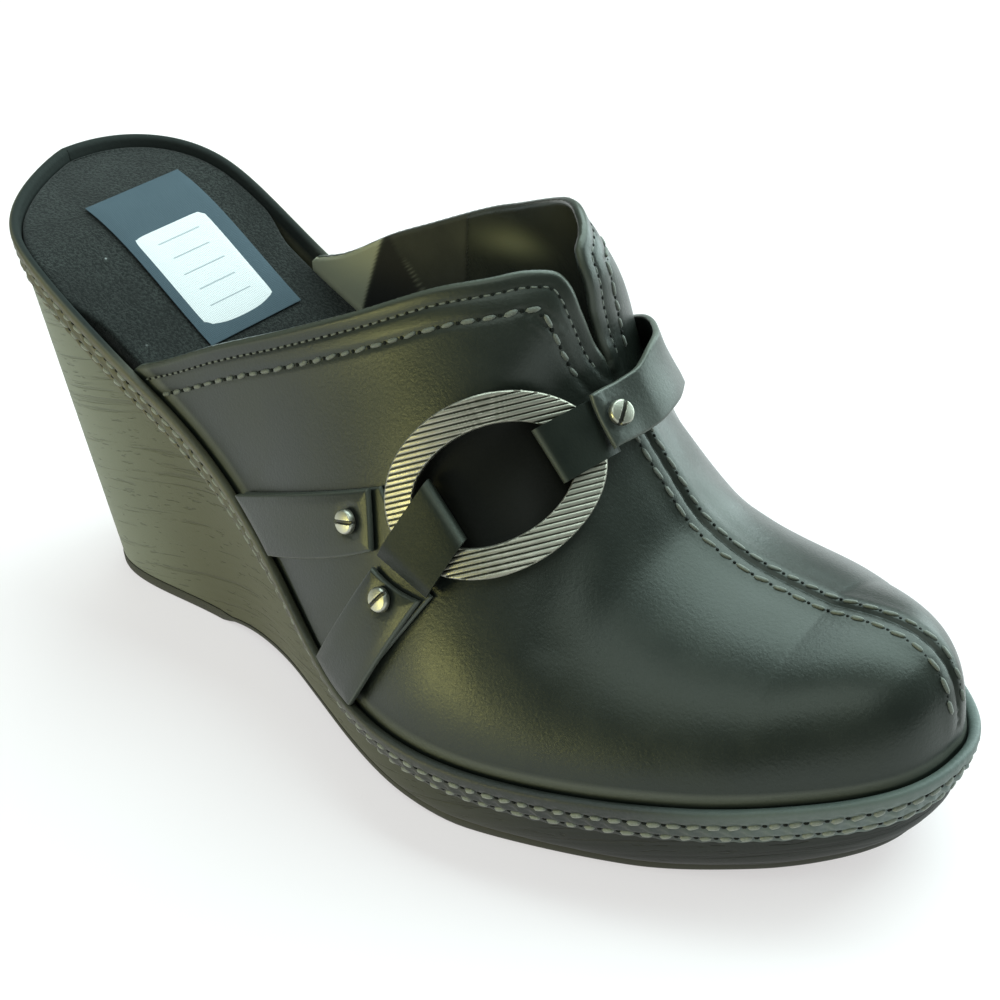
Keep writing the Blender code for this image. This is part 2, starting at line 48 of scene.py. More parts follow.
shoe = {
    "length": 246.2,       # over the sole
    "ballWidth": 96.4,
    "heelHeight": 98.4,    # rim at the heel's back
    "instepHeight": 116.0,
    "toeSpring": 11.6,
    "bandHeight": 9.6,
    "bandWall": 2.2,
    "upperInset": 2.9,     # feather edge inside the band's lip
    "upperWall": 2.0,
    "upperTuck": 8.4,
    "featherDrop": 1.0,    # feather edge under the rim
    "insoleDrop": 2.0,
    "gap": 0.3,
    "heelLean": .8,        # how far the band leans in at its lower edge
    "foreLean": 2.2,       # and how much more under the forefoot
    "foreFrom": .35,       # shares of the length over which the forefoot begins
    "foreOver": .25,
    "tuckFollow": .9,      # share of that lean which the tucked leather follows
}
length = shoe["length"]

# Outline: shares of the length, then of the ball width
outline = {
    "share":   [0, .02, .08, .18, .32, .46, .60, .72, .83, .92, .98, 1],
    "lateral": [0, .136, .318, .360, .350, .449, .552, .513, .4145, .292, .1665, .002],
    "medial":  [0, .185, .289, .322, .352, .368, .448, .4375, .419, .2815, .1335, -.002],
}
rimLine = {
    "share":  [0, .10, .25, .40, .55, .70, .85, 1],
    "height": [1, .924, .668, .441, .239, .208, .230, .295],
}
underLine = {
    "share":  [0, .27, .285, .38, .45, .60, .66, .79, .88, 1],
    "height": [0, 0, .12, .38, .52, .17, 0, 0, .21, 1],
    "rubber": [3.0, 3.0, 1.4, 1.4, 1.4, 1.8, 2.4, 2.4, 2.2, 2.0],
    "inset":  [8.6, 6.0, 5.7, 4.4, 3.5, 5.2, 6.2, 7.6, 8.4, 8.7],
}
# Leaning sections of the upper: foot on the feather edge, reach and rise of the ridge
sections = {
    "share":   [.203, .305, .406, .487, .569, .642, .699, .7555, .812, .873],
    "forward": [.387, .309, .224, .179, .101, .055, .0325, .0063, 0, 0],
    "height":  [1.328, 1.177, 1.0, .883, .736, .640, .541, .468, .425, .4073],
}
fullness = {
    "share":   [.244, .447, .569, .670, .812, .942],
    "lateral": [1.95, 1.80, 1.62, 1.68, 2.00, 2.20],
    "medial":  [1.94, 2.00, 1.80, 1.53, 1.79, 2.30],
}
ridgeLine = {"share": [.244, .569, .772, 1.007], "side": [0, 2.85, 3.14, 4.1]}
topline = {
    "lateral": {
        "share": [.2345, .250, .2674, .309, .353, .396, .4266, .4466, .4694, .4868, .5069,
                  .527, .555, .5788],
        "rise":  [.01, .069, .139, .278, .432, .602, .718, .807, .880, .897, .907,
                  .927, .961, 1],
    },
    "medial": {
        "share": [.2195, .2327, .254, .277, .315, .341, .371, .398, .421, .437, .449,
                  .461, .480, .515, .545, .5788],
        "rise":  [.01, .05, .151, .232, .363, .448, .568, .70, .82, .890, .955,
                  1.030, 1.050, 1.050, 1.025, 1],
    },
}
throatShare = .5788
toeReach = 30.0
toePower = 2.97


def steady(x, xs, ys):
    # Monotone cubic through a short table, level beyond its ends
    xs, ys = np.asarray(xs, float), np.asarray(ys, float)
    x = np.clip(np.asarray(x, float), xs[0], xs[-1])
    h = np.diff(xs)
    d = np.diff(ys) / h
    m = np.zeros_like(ys)
    w1, w2 = 2 * h[1:] + h[:-1], h[1:] + 2 * h[:-1]
    rising = d[:-1] * d[1:] > 0
    safe = np.where(rising, w1 / np.where(d[:-1] == 0, 1, d[:-1]) + w2 / np.where(d[1:] == 0, 1, d[1:]), 1)
    m[1:-1] = np.where(rising, (w1 + w2) / safe, 0)
    m[0], m[-1] = d[0], d[-1]
    i = np.clip(np.searchsorted(xs, x, side="right") - 1, 0, len(h) - 1)
    t = (x - xs[i]) / h[i]
    ends = ys[i] * (1 + 2 * t) * (1 - t) ** 2 + ys[i + 1] * t * t * (3 - 2 * t)
    return ends + h[i] * (m[i] * t * (1 - t) ** 2 + m[i + 1] * t * t * (t - 1))


def spline(x, xs, ys):
    # Cubic spline whose end thirds run straight on
    xs, ys, x = np.asarray(xs, float), np.asarray(ys, float), np.asarray(x, float)
    n, h = len(xs), np.diff(xs)
    a, r = np.zeros((n, n)), np.zeros(n)
    a[0, :3] = [-1 / h[0], 1 / h[0] + 1 / h[1], -1 / h[1]]
    a[-1, -3:] = [-1 / h[-2], 1 / h[-2] + 1 / h[-1], -1 / h[-1]]
    for i in range(1, n - 1):
        a[i, i - 1:i + 2] = [h[i - 1], 2 * (h[i - 1] + h[i]), h[i]]
        r[i] = 6 * ((ys[i + 1] - ys[i]) / h[i] - (ys[i] - ys[i - 1]) / h[i - 1])
    m = np.linalg.solve(a, r)
    i = np.clip(np.searchsorted(xs, x, side="right") - 1, 0, n - 2)
    t, s, k = x - xs[i], xs[i + 1] - x, h[i]
    cubic = (m[i] * s ** 3 + m[i + 1] * t ** 3) / (6 * k)
    return cubic + (ys[i] / k - m[i] * k / 6) * s + (ys[i + 1] / k - m[i + 1] * k / 6) * t


def smoothStep(t):
    t = np.clip(t, 0, 1)
    return t * t * (3 - 2 * t)


def bump(d, width):
    # Soft ridge: 1 at distance 0, fading to nothing over about two widths
    return np.exp(-(d / width) ** 2)


def halfOutline(side, inset, angle):
    # x = length (1 - cos a) / 2, half width from the table, both moved in along the normal
    knots = np.arccos(1 - 2 * np.asarray(outline["share"], float))
    table = np.asarray(outline[side]) * shoe["ballWidth"]
    e = 1e-4
    w = spline(angle, knots, table)
    dw = (spline(angle + e, knots, table) - spline(angle - e, knots, table)) / (2 * e)
    x = length * (1 - np.cos(angle)) / 2
    dx = length * np.sin(angle) / 2
    n = np.hypot(dx, dw)
    if callable(inset):
        inset = inset(x)
    return x + dw / n * inset, w - dx / n * inset


def loopAt(inset, steps):
    # Closed outline: outer side from heel to toe, then the inner side back
    angle = np.linspace(0, math.pi, steps + 1)
    lx, lw = halfOutline("lateral", inset, angle)
    mx, mw = halfOutline("medial", inset, angle)
    return np.concatenate([lx, mx[-2:0:-1]]), np.concatenate([-lw, mw[-2:0:-1]])


def rim(x):
    return steady(np.asarray(x) / length, rimLine["share"], rimLine["height"]) * shoe["heelHeight"]


def under(x):
    return steady(np.asarray(x) / length, underLine["share"], underLine["height"]) * shoe["toeSpring"]


def rubber(x):
    return np.interp(np.asarray(x) / length, underLine["share"], underLine["rubber"])


def underInset(x):
    return steady(np.asarray(x) / length, underLine["share"], underLine["inset"])


def foreShare(x):
    # 0 behind the forefoot, 1 well under it
    return np.clip((x / length - shoe["foreFrom"]) / shoe["foreOver"], 0, 1)


def bandLean(x):
    return shoe["heelLean"] + shoe["foreLean"] * smoothStep(foreShare(x))


def bandIn(x, drop):
    # Lean of the band's two faces at a depth under the rim
    return bandLean(x) * (drop / shoe["bandHeight"]) ** 2


def tuckLean(x, drop):
    return shoe["tuckFollow"] * bandLean(x) * (drop - shoe["featherDrop"]) / shoe["upperTuck"]


denseAngle = np.linspace(0, math.pi, 1441)
feather = {s: halfOutline(s, shoe["upperInset"], denseAngle) for s in ("lateral", "medial")}
toeEnd = float(feather["lateral"][0].max())


def featherWidth(x, side):
    fx, fw = feather[side]
    lo, hi = int(np.argmin(fx)), int(np.argmax(fx)) + 1
    return np.interp(x, fx[lo:hi], fw[lo:hi])


def softened(xs, ys, start, end, width):
    # Table curve whose turns are evened out by a bell-shaped average
    step = width / 8
    dense = np.arange(start - 4 * width, end + 4 * width, step)
    bell = np.exp(-(np.arange(-24, 25) * step / width) ** 2)
    padded = np.pad(steady(dense, xs, ys), 24, mode="edge")
    even = np.convolve(padded, bell / bell.sum(), mode="valid")
    return lambda x: np.interp(x, dense, even)


softForward = softened(sections["share"], sections["forward"], .2, .9, .020)
softHeight = softened(sections["share"], sections["height"], .2, .9, .020)
softFull = {side: softened(fullness["share"], fullness[side], .2, 1, .025) for side in ("lateral", "medial")}


def skin(x, c):
    # Leather's outer face: c runs from -1 at the outer feather edge over 0, the ridge, to 1.
    # Superellipse across, and the same rise carries the section forward and up.
    x, c = np.broadcast_arrays(np.asarray(x, float), np.asarray(c, float))
    share = x / length
    last = sections["share"][-1]
    forward = softForward(share) * length
    top = softHeight(share) * shoe["instepHeight"]
    base = rim(x) - shoe["featherDrop"]
    close = np.clip((toeEnd - x) / toeReach, 0, 1)
    ends = (1 - (1 - close) ** toePower) ** (1 / toePower)
    level = sections["height"][-1] * shoe["instepHeight"] - (rim(last * length) - shoe["featherDrop"])
    height = np.where(share > last, level, top - base) * ends
    ridge = steady((x + forward) / length, ridgeLine["share"], ridgeLine["side"]) * ends
    out = c < 0
    full = np.where(out, softFull["lateral"](share), softFull["medial"](share))
    a = (1 - np.abs(c)) * math.pi / 2
    across = np.clip(np.cos(a), 0, 1) ** (2 / full)
    rise = np.clip(np.sin(a), 0, 1) ** (2 / full)
    foot = np.where(out, -featherWidth(x, "lateral"), featherWidth(x, "medial"))
    return np.stack([x + forward * rise, ridge + (foot - ridge) * across, base + height * rise], -1)


def skinNormal(x, c):
    # Cross product of two short steps over the skin, taken by the toe's own angle
    x, c = np.broadcast_arrays(np.asarray(x, float), np.asarray(c, float))
    over = skin(x, np.clip(c + .004, -1, 1)) - skin(x, np.clip(c - .004, -1, 1))
    angle = np.arccos(np.clip(1 - 2 * x / toeEnd, -1, 1))
    a0 = toeEnd * (1 - np.cos(np.clip(angle - .004, 0, math.pi - .012))) / 2
    a1 = toeEnd * (1 - np.cos(np.clip(angle + .004, 0, math.pi - .004))) / 2
    n = np.cross(skin(a1, c) - skin(a0, c), over)
    return n / np.maximum(np.linalg.norm(n, axis=-1, keepdims=True), 1e-9)


def onSkin(x, c, lift):
    return skin(x, c) + skinNormal(x, c) * np.asarray(lift)[..., None]


# The frame's own box says where the outline lies
planX, planY = loopAt(0, 46)
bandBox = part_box("platform_band")
middle = [(bandBox[0][k] + bandBox[1][k]) * 500 for k in (0, 1)]
shift = np.array([(planX.min() + planX.max()) / 2 - middle[0],
                  (planY.min() + planY.max()) / 2 - middle[1], 0])


def gridFaces(rows, cols, closeRows=False, closeCols=False, start=0):
    # Quads of a rows x cols grid, wrapped round where asked
    r = np.arange(rows if closeRows else rows - 1)
    c = np.arange(cols if closeCols else cols - 1)
    r, c = np.meshgrid(r, c, indexing="ij")
    r2, c2 = (r + 1) % rows, (c + 1) % cols
    quads = np.stack([r * cols + c, r * cols + c2, r2 * cols + c2, r2 * cols + c], -1)
    return quads.reshape(-1, 4) + start


def sheetFaces(rows, cols):
    # Two grids, one over the other, closed all round their border
    n = rows * cols
    border = np.concatenate([np.arange(cols), np.arange(1, rows) * cols + cols - 1,
                             (rows - 1) * cols + np.arange(cols - 2, -1, -1),
                             np.arange(rows - 2, 0, -1) * cols])
    after = np.roll(border, -1)
    wall = np.stack([border, after, after + n, border + n], -1)
    return np.concatenate([gridFaces(rows, cols), gridFaces(rows, cols, start=n), wall])


def makePiece(name, points, faces, materials, attributes=None, faceMaterial=None, crisp=None):
    # points are millimetres; doubles are merged and the shell is turned to face out
    mesh = bpy.data.meshes.new(name)
    placed = (np.asarray(points, float).reshape(-1, 3) - shift) * .001
    faces = np.asarray(faces)
    mesh.vertices.add(len(placed))
    mesh.vertices.foreach_set("co", placed.ravel())
    mesh.loops.add(faces.size)
    mesh.loops.foreach_set("vertex_index", faces.ravel())
    mesh.polygons.add(len(faces))
    mesh.polygons.foreach_set("loop_start", np.arange(len(faces)) * faces.shape[1])
    mesh.update(calc_edges=True)
    for key, values in (attributes or {}).items():
        layer = mesh.attributes.new(key, "FLOAT", "POINT")
        layer.data.foreach_set("value", np.asarray(values, np.float32).ravel())
    if faceMaterial is not None:
        mesh.polygons.foreach_set("material_index", np.asarray(faceMaterial, np.int32))
    work = bmesh.new()
    work.from_mesh(mesh)
    bmesh.ops.remove_doubles(work, verts=work.verts, dist=2e-6)
    bmesh.ops.dissolve_degenerate(work, edges=work.edges, dist=1e-7)
    bmesh.ops.recalc_face_normals(work, faces=work.faces)
    work.to_mesh(mesh)
    work.free()
    mesh.polygons.foreach_set("use_smooth", np.ones(len(mesh.polygons), bool))
    piece = bpy.data.objects.new(name, mesh)
    bpy.context.scene.collection.objects.link(piece)
    for one in materials:
        mesh.materials.append(one)
    if crisp:
        mesh.set_sharp_from_angle(angle=math.radians(crisp))
    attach(piece, "root")
    return piece


def wear(piece, slotName, *nodes):
    if nodes:
        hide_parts(*nodes)
    return piece


# Shared shader groups
def newGroup(name, inputs, outputs):
    group = bpy.data.node_groups.new(name, "ShaderNodeTree")
    for label, kind, value in inputs:
        socket = group.interface.new_socket(label, in_out="INPUT", socket_type=kind)
        if value is not None:
            socket.default_value = value
    for label, kind in outputs:
        group.interface.new_socket(label, in_out="OUTPUT", socket_type=kind)
    return group, group.nodes.new("NodeGroupInput"), group.nodes.new("NodeGroupOutput")


def mathNode(tree, operation, a, b=None, clamp=False):
    node = tree.nodes.new("ShaderNodeMath")
    node.operation = operation
    node.use_clamp = clamp
    for k, value in enumerate((a, b)):
        if value is None:
            continue
        if isinstance(value, (int, float)):
            node.inputs[k].default_value = value
        else:
            tree.links.new(value, node.inputs[k])
    return node.outputs[0]


def noiseNode(tree, vector, scale, detail=2.0, rough=.5, distortion=0.0):
    node = tree.nodes.new("ShaderNodeTexNoise")
    node.inputs["Detail"].default_value = detail
    node.inputs["Roughness"].default_value = rough
    node.inputs["Distortion"].default_value = distortion
    if isinstance(scale, (int, float)):
        node.inputs["Scale"].default_value = scale
    else:
        tree.links.new(scale, node.inputs["Scale"])
    tree.links.new(vector, node.inputs["Vector"])
    return node.outputs["Fac"]


def rampNode(tree, value, low, high, toLow=0.0, toHigh=1.0):
    node = tree.nodes.new("ShaderNodeMapRange")
    node.interpolation_type = "SMOOTHSTEP"
    node.inputs["From Min"].default_value = low
    node.inputs["From Max"].default_value = high
    node.inputs["To Min"].default_value = toLow
    node.inputs["To Max"].default_value = toHigh
    tree.links.new(value, node.inputs["Value"])
    return node.outputs["Result"]


def mixColours(tree, factor, a, b, blend="MIX"):
    node = tree.nodes.new("ShaderNodeMix")
    node.data_type = "RGBA"
    node.blend_type = blend
    for socket, value in ((node.inputs[0], factor), (node.inputs[6], a), (node.inputs[7], b)):
        if isinstance(value, (int, float)):
            socket.default_value = value
        elif isinstance(value, tuple):
            socket.default_value = (*value, 1)
        else:
            tree.links.new(value, socket)
    return node.outputs[2]


def grainGroup():
    # Leather grain: pebbled cells with fine pores, in object coordinates
    group, gIn, gOut = newGroup("leatherGrain", [
        ("Vector", "NodeSocketVector", None), ("Cells", "NodeSocketFloat", 1400.0),
        ("Mottle", "NodeSocketFloat", 60.0)],
        [("Height", "NodeSocketFloat"), ("Tone", "NodeSocketFloat"), ("Gloss", "NodeSocketFloat")])
    vector = gIn.outputs["Vector"]
    cells = group.nodes.new("ShaderNodeTexVoronoi")
    cells.feature = "SMOOTH_F1"
    group.links.new(vector, cells.inputs["Vector"])
    group.links.new(gIn.outputs["Cells"], cells.inputs["Scale"])
    pores = noiseNode(group, vector, mathNode(group, "MULTIPLY", gIn.outputs["Cells"], 1.9), 3.0, .6)
    slow = noiseNode(group, vector, gIn.outputs["Mottle"], 3.0, .55)
    height = mathNode(group, "ADD", mathNode(group, "MULTIPLY", cells.outputs["Distance"], -.6),
                      mathNode(group, "MULTIPLY", pores, .7))
    group.links.new(mathNode(group, "ADD", height, .4), gOut.inputs["Height"])
    group.links.new(rampNode(group, slow, .3, .7), gOut.inputs["Tone"])
    gloss = mathNode(group, "ADD", mathNode(group, "MULTIPLY", slow, .5),
                     mathNode(group, "MULTIPLY", pores, .5))
    group.links.new(rampNode(group, gloss, .3, .7), gOut.inputs["Gloss"])
    return group


def fuzzGroup():
    # Suede nap and lint: fine fibres, slow brushed patches and rare light specks
    group, gIn, gOut = newGroup("suedeNap", [
        ("Vector", "NodeSocketVector", None), ("Fibre", "NodeSocketFloat", 2600.0),
        ("Specks", "NodeSocketFloat", 260.0)],
        [("Height", "NodeSocketFloat"), ("Tone", "NodeSocketFloat"), ("Lint", "NodeSocketFloat")])
    vector = gIn.outputs["Vector"]
    fibres = noiseNode(group, vector, gIn.outputs["Fibre"], 3.0, .7)
    brushed = noiseNode(group, vector, 90.0, 3.0, .6)
    cells = group.nodes.new("ShaderNodeTexVoronoi")
    group.links.new(vector, cells.inputs["Vector"])
    group.links.new(gIn.outputs["Specks"], cells.inputs["Scale"])
    near = rampNode(group, cells.outputs["Distance"], .05, .11, 1.0, 0.0)
    split = group.nodes.new("ShaderNodeSeparateColor")
    group.links.new(cells.outputs["Color"], split.inputs["Color"])
    rare = rampNode(group, split.outputs[0], .93, .96)
    group.links.new(fibres, gOut.inputs["Height"])
    group.links.new(rampNode(group, brushed, .3, .7), gOut.inputs["Tone"])
    group.links.new(mathNode(group, "MULTIPLY", near, rare), gOut.inputs["Lint"])
    return group


groups = {"grain": grainGroup(), "fuzz": fuzzGroup()}


def newMaterial(name, roughness, metallic=0.0, specular=.5):
    made = bpy.data.materials.new(name)
    made.use_nodes = True
    tree = made.node_tree
    shader = tree.nodes["Principled BSDF"]
    shader.inputs["Roughness"].default_value = roughness
    shader.inputs["Metallic"].default_value = metallic
    shader.inputs["Specular IOR Level"].default_value = specular
    place = tree.nodes.new("ShaderNodeTexCoord").outputs["Object"]
    return made, tree, shader, place


def useGroup(tree, group, place, **values):
    node = tree.nodes.new("ShaderNodeGroup")
    node.node_tree = group
    tree.links.new(place, node.inputs["Vector"])
    for key, value in values.items():
        node.inputs[key].default_value = value
    return node.outputs


def addBump(tree, shader, height, distance, strength=1.0):
    node = tree.nodes.new("ShaderNodeBump")
    node.inputs["Distance"].default_value = distance
    node.inputs["Strength"].default_value = strength
    tree.links.new(height, node.inputs["Height"])
    tree.links.new(node.outputs["Normal"], shader.inputs["Normal"])


def attributeNode(tree, name):
    node = tree.nodes.new("ShaderNodeAttribute")
    node.attribute_name = name
    return node.outputs["Fac"]


def leatherMaterial(name, look):
    # Satin leather: mottled colour, grain in the bump, gloss that varies with both
    made, tree, shader, place = newMaterial(name, look["rough"], specular=look["specular"])
    out = useGroup(tree, groups["grain"], place, Cells=look["cells"], Mottle=look["mottle"])
    colour = mixColours(tree, out["Tone"], look["dark"], look["light"])
    # edge: lighter line along the upper's topline, pale raw cut edges on the straps, and a painted highlight
    # along the loops' folds
    if look.get("edge"):
        colour = mixColours(tree, attributeNode(tree, "edge"), colour, look["edge"])
    low, high = look["rough"] - look["spread"], look["rough"] + look["spread"]
    gloss = rampNode(tree, out["Gloss"], 0, 1, low, high)
    if look.get("shaded"):
        shade = attributeNode(tree, "shade")
        # Painted highlight: pale strip along the feather edge, then painted shade behind the ring with duller
        # gloss
        colour = mixColours(tree, attributeNode(tree, "foot"), colour, look["foot"])
        colour = mixColours(tree, shade, colour, look["shaded"])
        gloss = mathNode(tree, "ADD", gloss, mathNode(tree, "MULTIPLY", shade, .2))
        level = mathNode(tree, "SUBTRACT", look["specular"], mathNode(tree, "MULTIPLY", shade, .32))
        tree.links.new(level, shader.inputs["Specular IOR Level"])
    tree.links.new(colour, shader.inputs["Base Color"])
    tree.links.new(gloss, shader.inputs["Roughness"])
    shader.inputs["Specular Tint"].default_value = (*look["sheenTint"], 1)
    shader.inputs["Coat Weight"].default_value = look["coat"]
    shader.inputs["Coat Roughness"].default_value = look["coatRough"]
    addBump(tree, shader, out["Height"], look["grainDepth"])
    return made


# Leather colours are linear; grain sizes are cells per metre and depth in metres
upperLook = {
    "dark": (.0060, .0085, .0066),
    "light": (.0110, .0140, .0105),
    "shaded": (.004, .004, .003),    # behind the ring
    "edge": (.045, .052, .040),      # lighter line along the rolled topline
    "foot": (.070, .076, .062),      # painted highlight: pale strip where the leather rolls out at the feather edge
    "rough": .37,
    "spread": .06,
    "cells": 1500.0,
    "mottle": 55.0,
    "grainDepth": .00005,
    "specular": .43,
    "sheenTint": (.90, 1.0, .90),
    "coat": .10,
    "coatRough": .26,
}
# edge colour: pale raw cut edges on the straps; on the loops it is a painted highlight along the fold
strapLook = dict(upperLook, edge=(.075, .085, .070), mottle=80.0, shaded=None)
upperLeather = leatherMaterial("upperLeather", upperLook)
strapLeather = leatherMaterial("strapLeather", strapLook)
instepLeather = leatherMaterial("instepLeather", dict(strapLook, specular=.62, rough=.46, coat=.15))
loopLeather = leatherMaterial("loopLeather", dict(strapLook, specular=.20, rough=.44, coat=0.0))


def alongShoe(tree, place, start, end):
    # 0 at the heel, 1 at the toe, between two places along the shoe in metres
    split = tree.nodes.new("ShaderNodeSeparateXYZ")
    tree.links.new(place, split.inputs[0])
    return rampNode(tree, split.outputs[0], start, end), split


# Dark and light of a mottled colour; places are metres along the shoe in the shared frame
bandPaint = {
    "heel": ((.058, .058, .034), (.082, .082, .050)),
    "fore": ((.013, .017, .014), (.020, .026, .022)),
    "toe": ((.074, .100, .090), (.100, .132, .118)),
    "lip": (.022, .027, .025),
    "foreFrom": (-.05, .06),
    "toeFrom": (.07, .115),
    "lipUpTo": (-.075, -.055),
}


def bandMaterial():
    # Olive at the heel, darker before it, pale green at the toe; the lip is dull and near
    # black round the heel seat
    made, tree, shader, place = newMaterial("bandLeather", .52, specular=.5)
    out = useGroup(tree, groups["grain"], place, Cells=900.0, Mottle=70.0)
    fore = alongShoe(tree, place, *bandPaint["foreFrom"])[0]
    tip = alongShoe(tree, place, *bandPaint["toeFrom"])[0]
    tones = []
    for heelTone, foreTone, toeTone in zip(bandPaint["heel"], bandPaint["fore"], bandPaint["toe"]):
        tones.append(mixColours(tree, tip, mixColours(tree, fore, heelTone, foreTone), toeTone))
    colour = mixColours(tree, out["Tone"], *tones)
    seat = alongShoe(tree, place, *bandPaint["lipUpTo"])[0]
    dull = mathNode(tree, "MULTIPLY", attributeNode(tree, "lip"), mathNode(tree, "SUBTRACT", 1.0, seat))
    colour = mixColours(tree, dull, colour, bandPaint["lip"])
    tree.links.new(colour, shader.inputs["Base Color"])
    gloss = rampNode(tree, out["Gloss"], 0, 1, .45, .6)
    rough = mathNode(tree, "ADD", gloss, mathNode(tree, "MULTIPLY", dull, .4), clamp=True)
    tree.links.new(rough, shader.inputs["Roughness"])
    level = mathNode(tree, "SUBTRACT", .5, mathNode(tree, "MULTIPLY", dull, .4))
    tree.links.new(level, shader.inputs["Specular IOR Level"])
    addBump(tree, shader, out["Height"], .00012)
    return made


liningPaint = {
    "leather": ((.020, .022, .017), (.034, .036, .027)),
    "patch": (.36, .37, .27),
    # painted golden highlight on the lining
    "paintedGlint": (.165, .170, .105),
    "gore": (.007, .007, .006),
    # painted highlight where the gore's folded edge catches the light
    "trim": (.25, .26, .21),
}


def liningMaterial():
    # Fabric behind the seam, smooth leather before it, with a pale patch and a dark gore, and two painted
    # highlights: a golden glint and a pale line along the gore's fold
    made, tree, shader, place = newMaterial("liningLeather", .34)
    out = useGroup(tree, groups["grain"], place, Cells=1800.0, Mottle=70.0)
    colour = mixColours(tree, out["Tone"], *liningPaint["leather"])
    for mark in ("patch", "paintedGlint", "gore", "trim"):
        colour = mixColours(tree, attributeNode(tree, mark), colour, liningPaint[mark])
    tree.links.new(colour, shader.inputs["Base Color"])
    cloth = attributeNode(tree, "cloth")
    tree.links.new(rampNode(tree, cloth, 0, 1, .27, .75), shader.inputs["Roughness"])
    addBump(tree, shader, out["Height"], .00005)
    return made


wedgePaint = {
    # back: painted highlight, the pale greenish rim light along the heel's back
    "back": ((.170, .196, .158), (.222, .252, .205)),
    "heel": ((.058, .062, .029), (.077, .081, .040)),
    "toe": ((.008, .011, .008), (.013, .017, .013)),
    "rimLightFade": (-.112, -.052),
    "toeFrom": (-.02, .07),
    "tilt": .24,           # rise of the layers towards the toe
}


def wedgeMaterial():
    # Pressed foam that imitates stacked layers: long streaks and short ticks that rise
    # a little towards the toe
    made, tree, shader, place = newMaterial("wedgeFoam", .6, specular=.4)
    along, split = alongShoe(tree, place, *wedgePaint["toeFrom"])
    x, y, z = split.outputs
    tilted = mathNode(tree, "SUBTRACT", z, mathNode(tree, "MULTIPLY", x, wedgePaint["tilt"]))

    def layered(acrossScale, upScale, detail):
        join = tree.nodes.new("ShaderNodeCombineXYZ")
        tree.links.new(mathNode(tree, "MULTIPLY", x, acrossScale), join.inputs[0])
        tree.links.new(mathNode(tree, "MULTIPLY", y, acrossScale), join.inputs[1])
        tree.links.new(mathNode(tree, "MULTIPLY", tilted, upScale), join.inputs[2])
        return noiseNode(tree, join.outputs[0], 1.0, detail, .6, .2)
    streaks = rampNode(tree, layered(20.0, 520.0, 4.0), .32, .43)
    ticks = rampNode(tree, layered(170.0, 1100.0, 2.0), .28, .38)
    slow = noiseNode(tree, place, 26.0, 3.0)
    fine = noiseNode(tree, place, 1700.0, 2.0)
    back, heel, toe = (mixColours(tree, slow, *wedgePaint[key]) for key in ("back", "heel", "toe"))
    # Painted highlight: pale at the heel's back where the rim light falls, fading to the heel colour
    pastRimLight = rampNode(tree, x, *wedgePaint["rimLightFade"])
    base = mixColours(tree, along, mixColours(tree, pastRimLight, back, heel), toe)
    lines = mathNode(tree, "MULTIPLY", streaks, ticks)
    shade = rampNode(tree, lines, 0, 1, .82, 1.0)
    colour = mixColours(tree, 1.0, base, shade, "MULTIPLY")
    tree.links.new(colour, shader.inputs["Base Color"])
    height = mathNode(tree, "ADD", lines, mathNode(tree, "MULTIPLY", fine, .3))
    addBump(tree, shader, height, .00018)
    return made


def dullMaterial(name, specular, dark, light, slowScale):
    # Matt, finely pitted surface: the outsole's rubber, and the shade inside a stitch hole
    made, tree, shader, place = newMaterial(name, .68, specular=specular)
    fine = noiseNode(tree, place, 1500.0, 3.0, .6)
    slow = noiseNode(tree, place, slowScale, 3.0)
    tree.links.new(mixColours(tree, slow, dark, light), shader.inputs["Base Color"])
    tree.links.new(rampNode(tree, slow, .3, .7, .6, .75), shader.inputs["Roughness"])
    addBump(tree, shader, fine, .00008)
    return made


suedePaint = {
    "hollow": (.009, .0115, .0105),
    "nap": ((.016, .020, .018), (.034, .042, .038)),
    "lint": (.30, .33, .32),
    "sheen": .12,
}


def suedeMaterial():
    # Near-black nap, finely speckled, with a few pale lint specks
    made, tree, shader, place = newMaterial("insoleSuede", .95, specular=.15)
    out = useGroup(tree, groups["fuzz"], place)
    speckle = rampNode(tree, noiseNode(tree, place, 1500.0, 3.0, .75), .40, .68)
    slow = mixColours(tree, out["Tone"], *suedePaint["nap"])
    colour = mixColours(tree, speckle, suedePaint["hollow"], slow)
    colour = mixColours(tree, out["Lint"], colour, suedePaint["lint"])
    tree.links.new(colour, shader.inputs["Base Color"])
    shader.inputs["Sheen Weight"].default_value = suedePaint["sheen"]
    shader.inputs["Sheen Roughness"].default_value = .5
    addBump(tree, shader, speckle, .00012)
    return made


def clothMaterial(name, dark, light, fibre):
    # Woven label cloth: two crossed sets of fine ribs
    made, tree, shader, place = newMaterial(name, .8, specular=.25)
    waves = []
    for axis in ("X", "Y"):
        wave = tree.nodes.new("ShaderNodeTexWave")
        wave.bands_direction = axis
        wave.inputs["Scale"].default_value = fibre
        wave.inputs["Distortion"].default_value = .6
        tree.links.new(place, wave.inputs["Vector"])
        waves.append(wave.outputs["Fac"])
    weave = mathNode(tree, "MULTIPLY", waves[0], waves[1])
    slow = noiseNode(tree, place, 120.0, 3.0)
    tone = mathNode(tree, "ADD", mathNode(tree, "MULTIPLY", weave, .5), mathNode(tree, "MULTIPLY", slow, .5))
    tree.links.new(mixColours(tree, tone, dark, light), shader.inputs["Base Color"])
    addBump(tree, shader, weave, .00006)
    return made


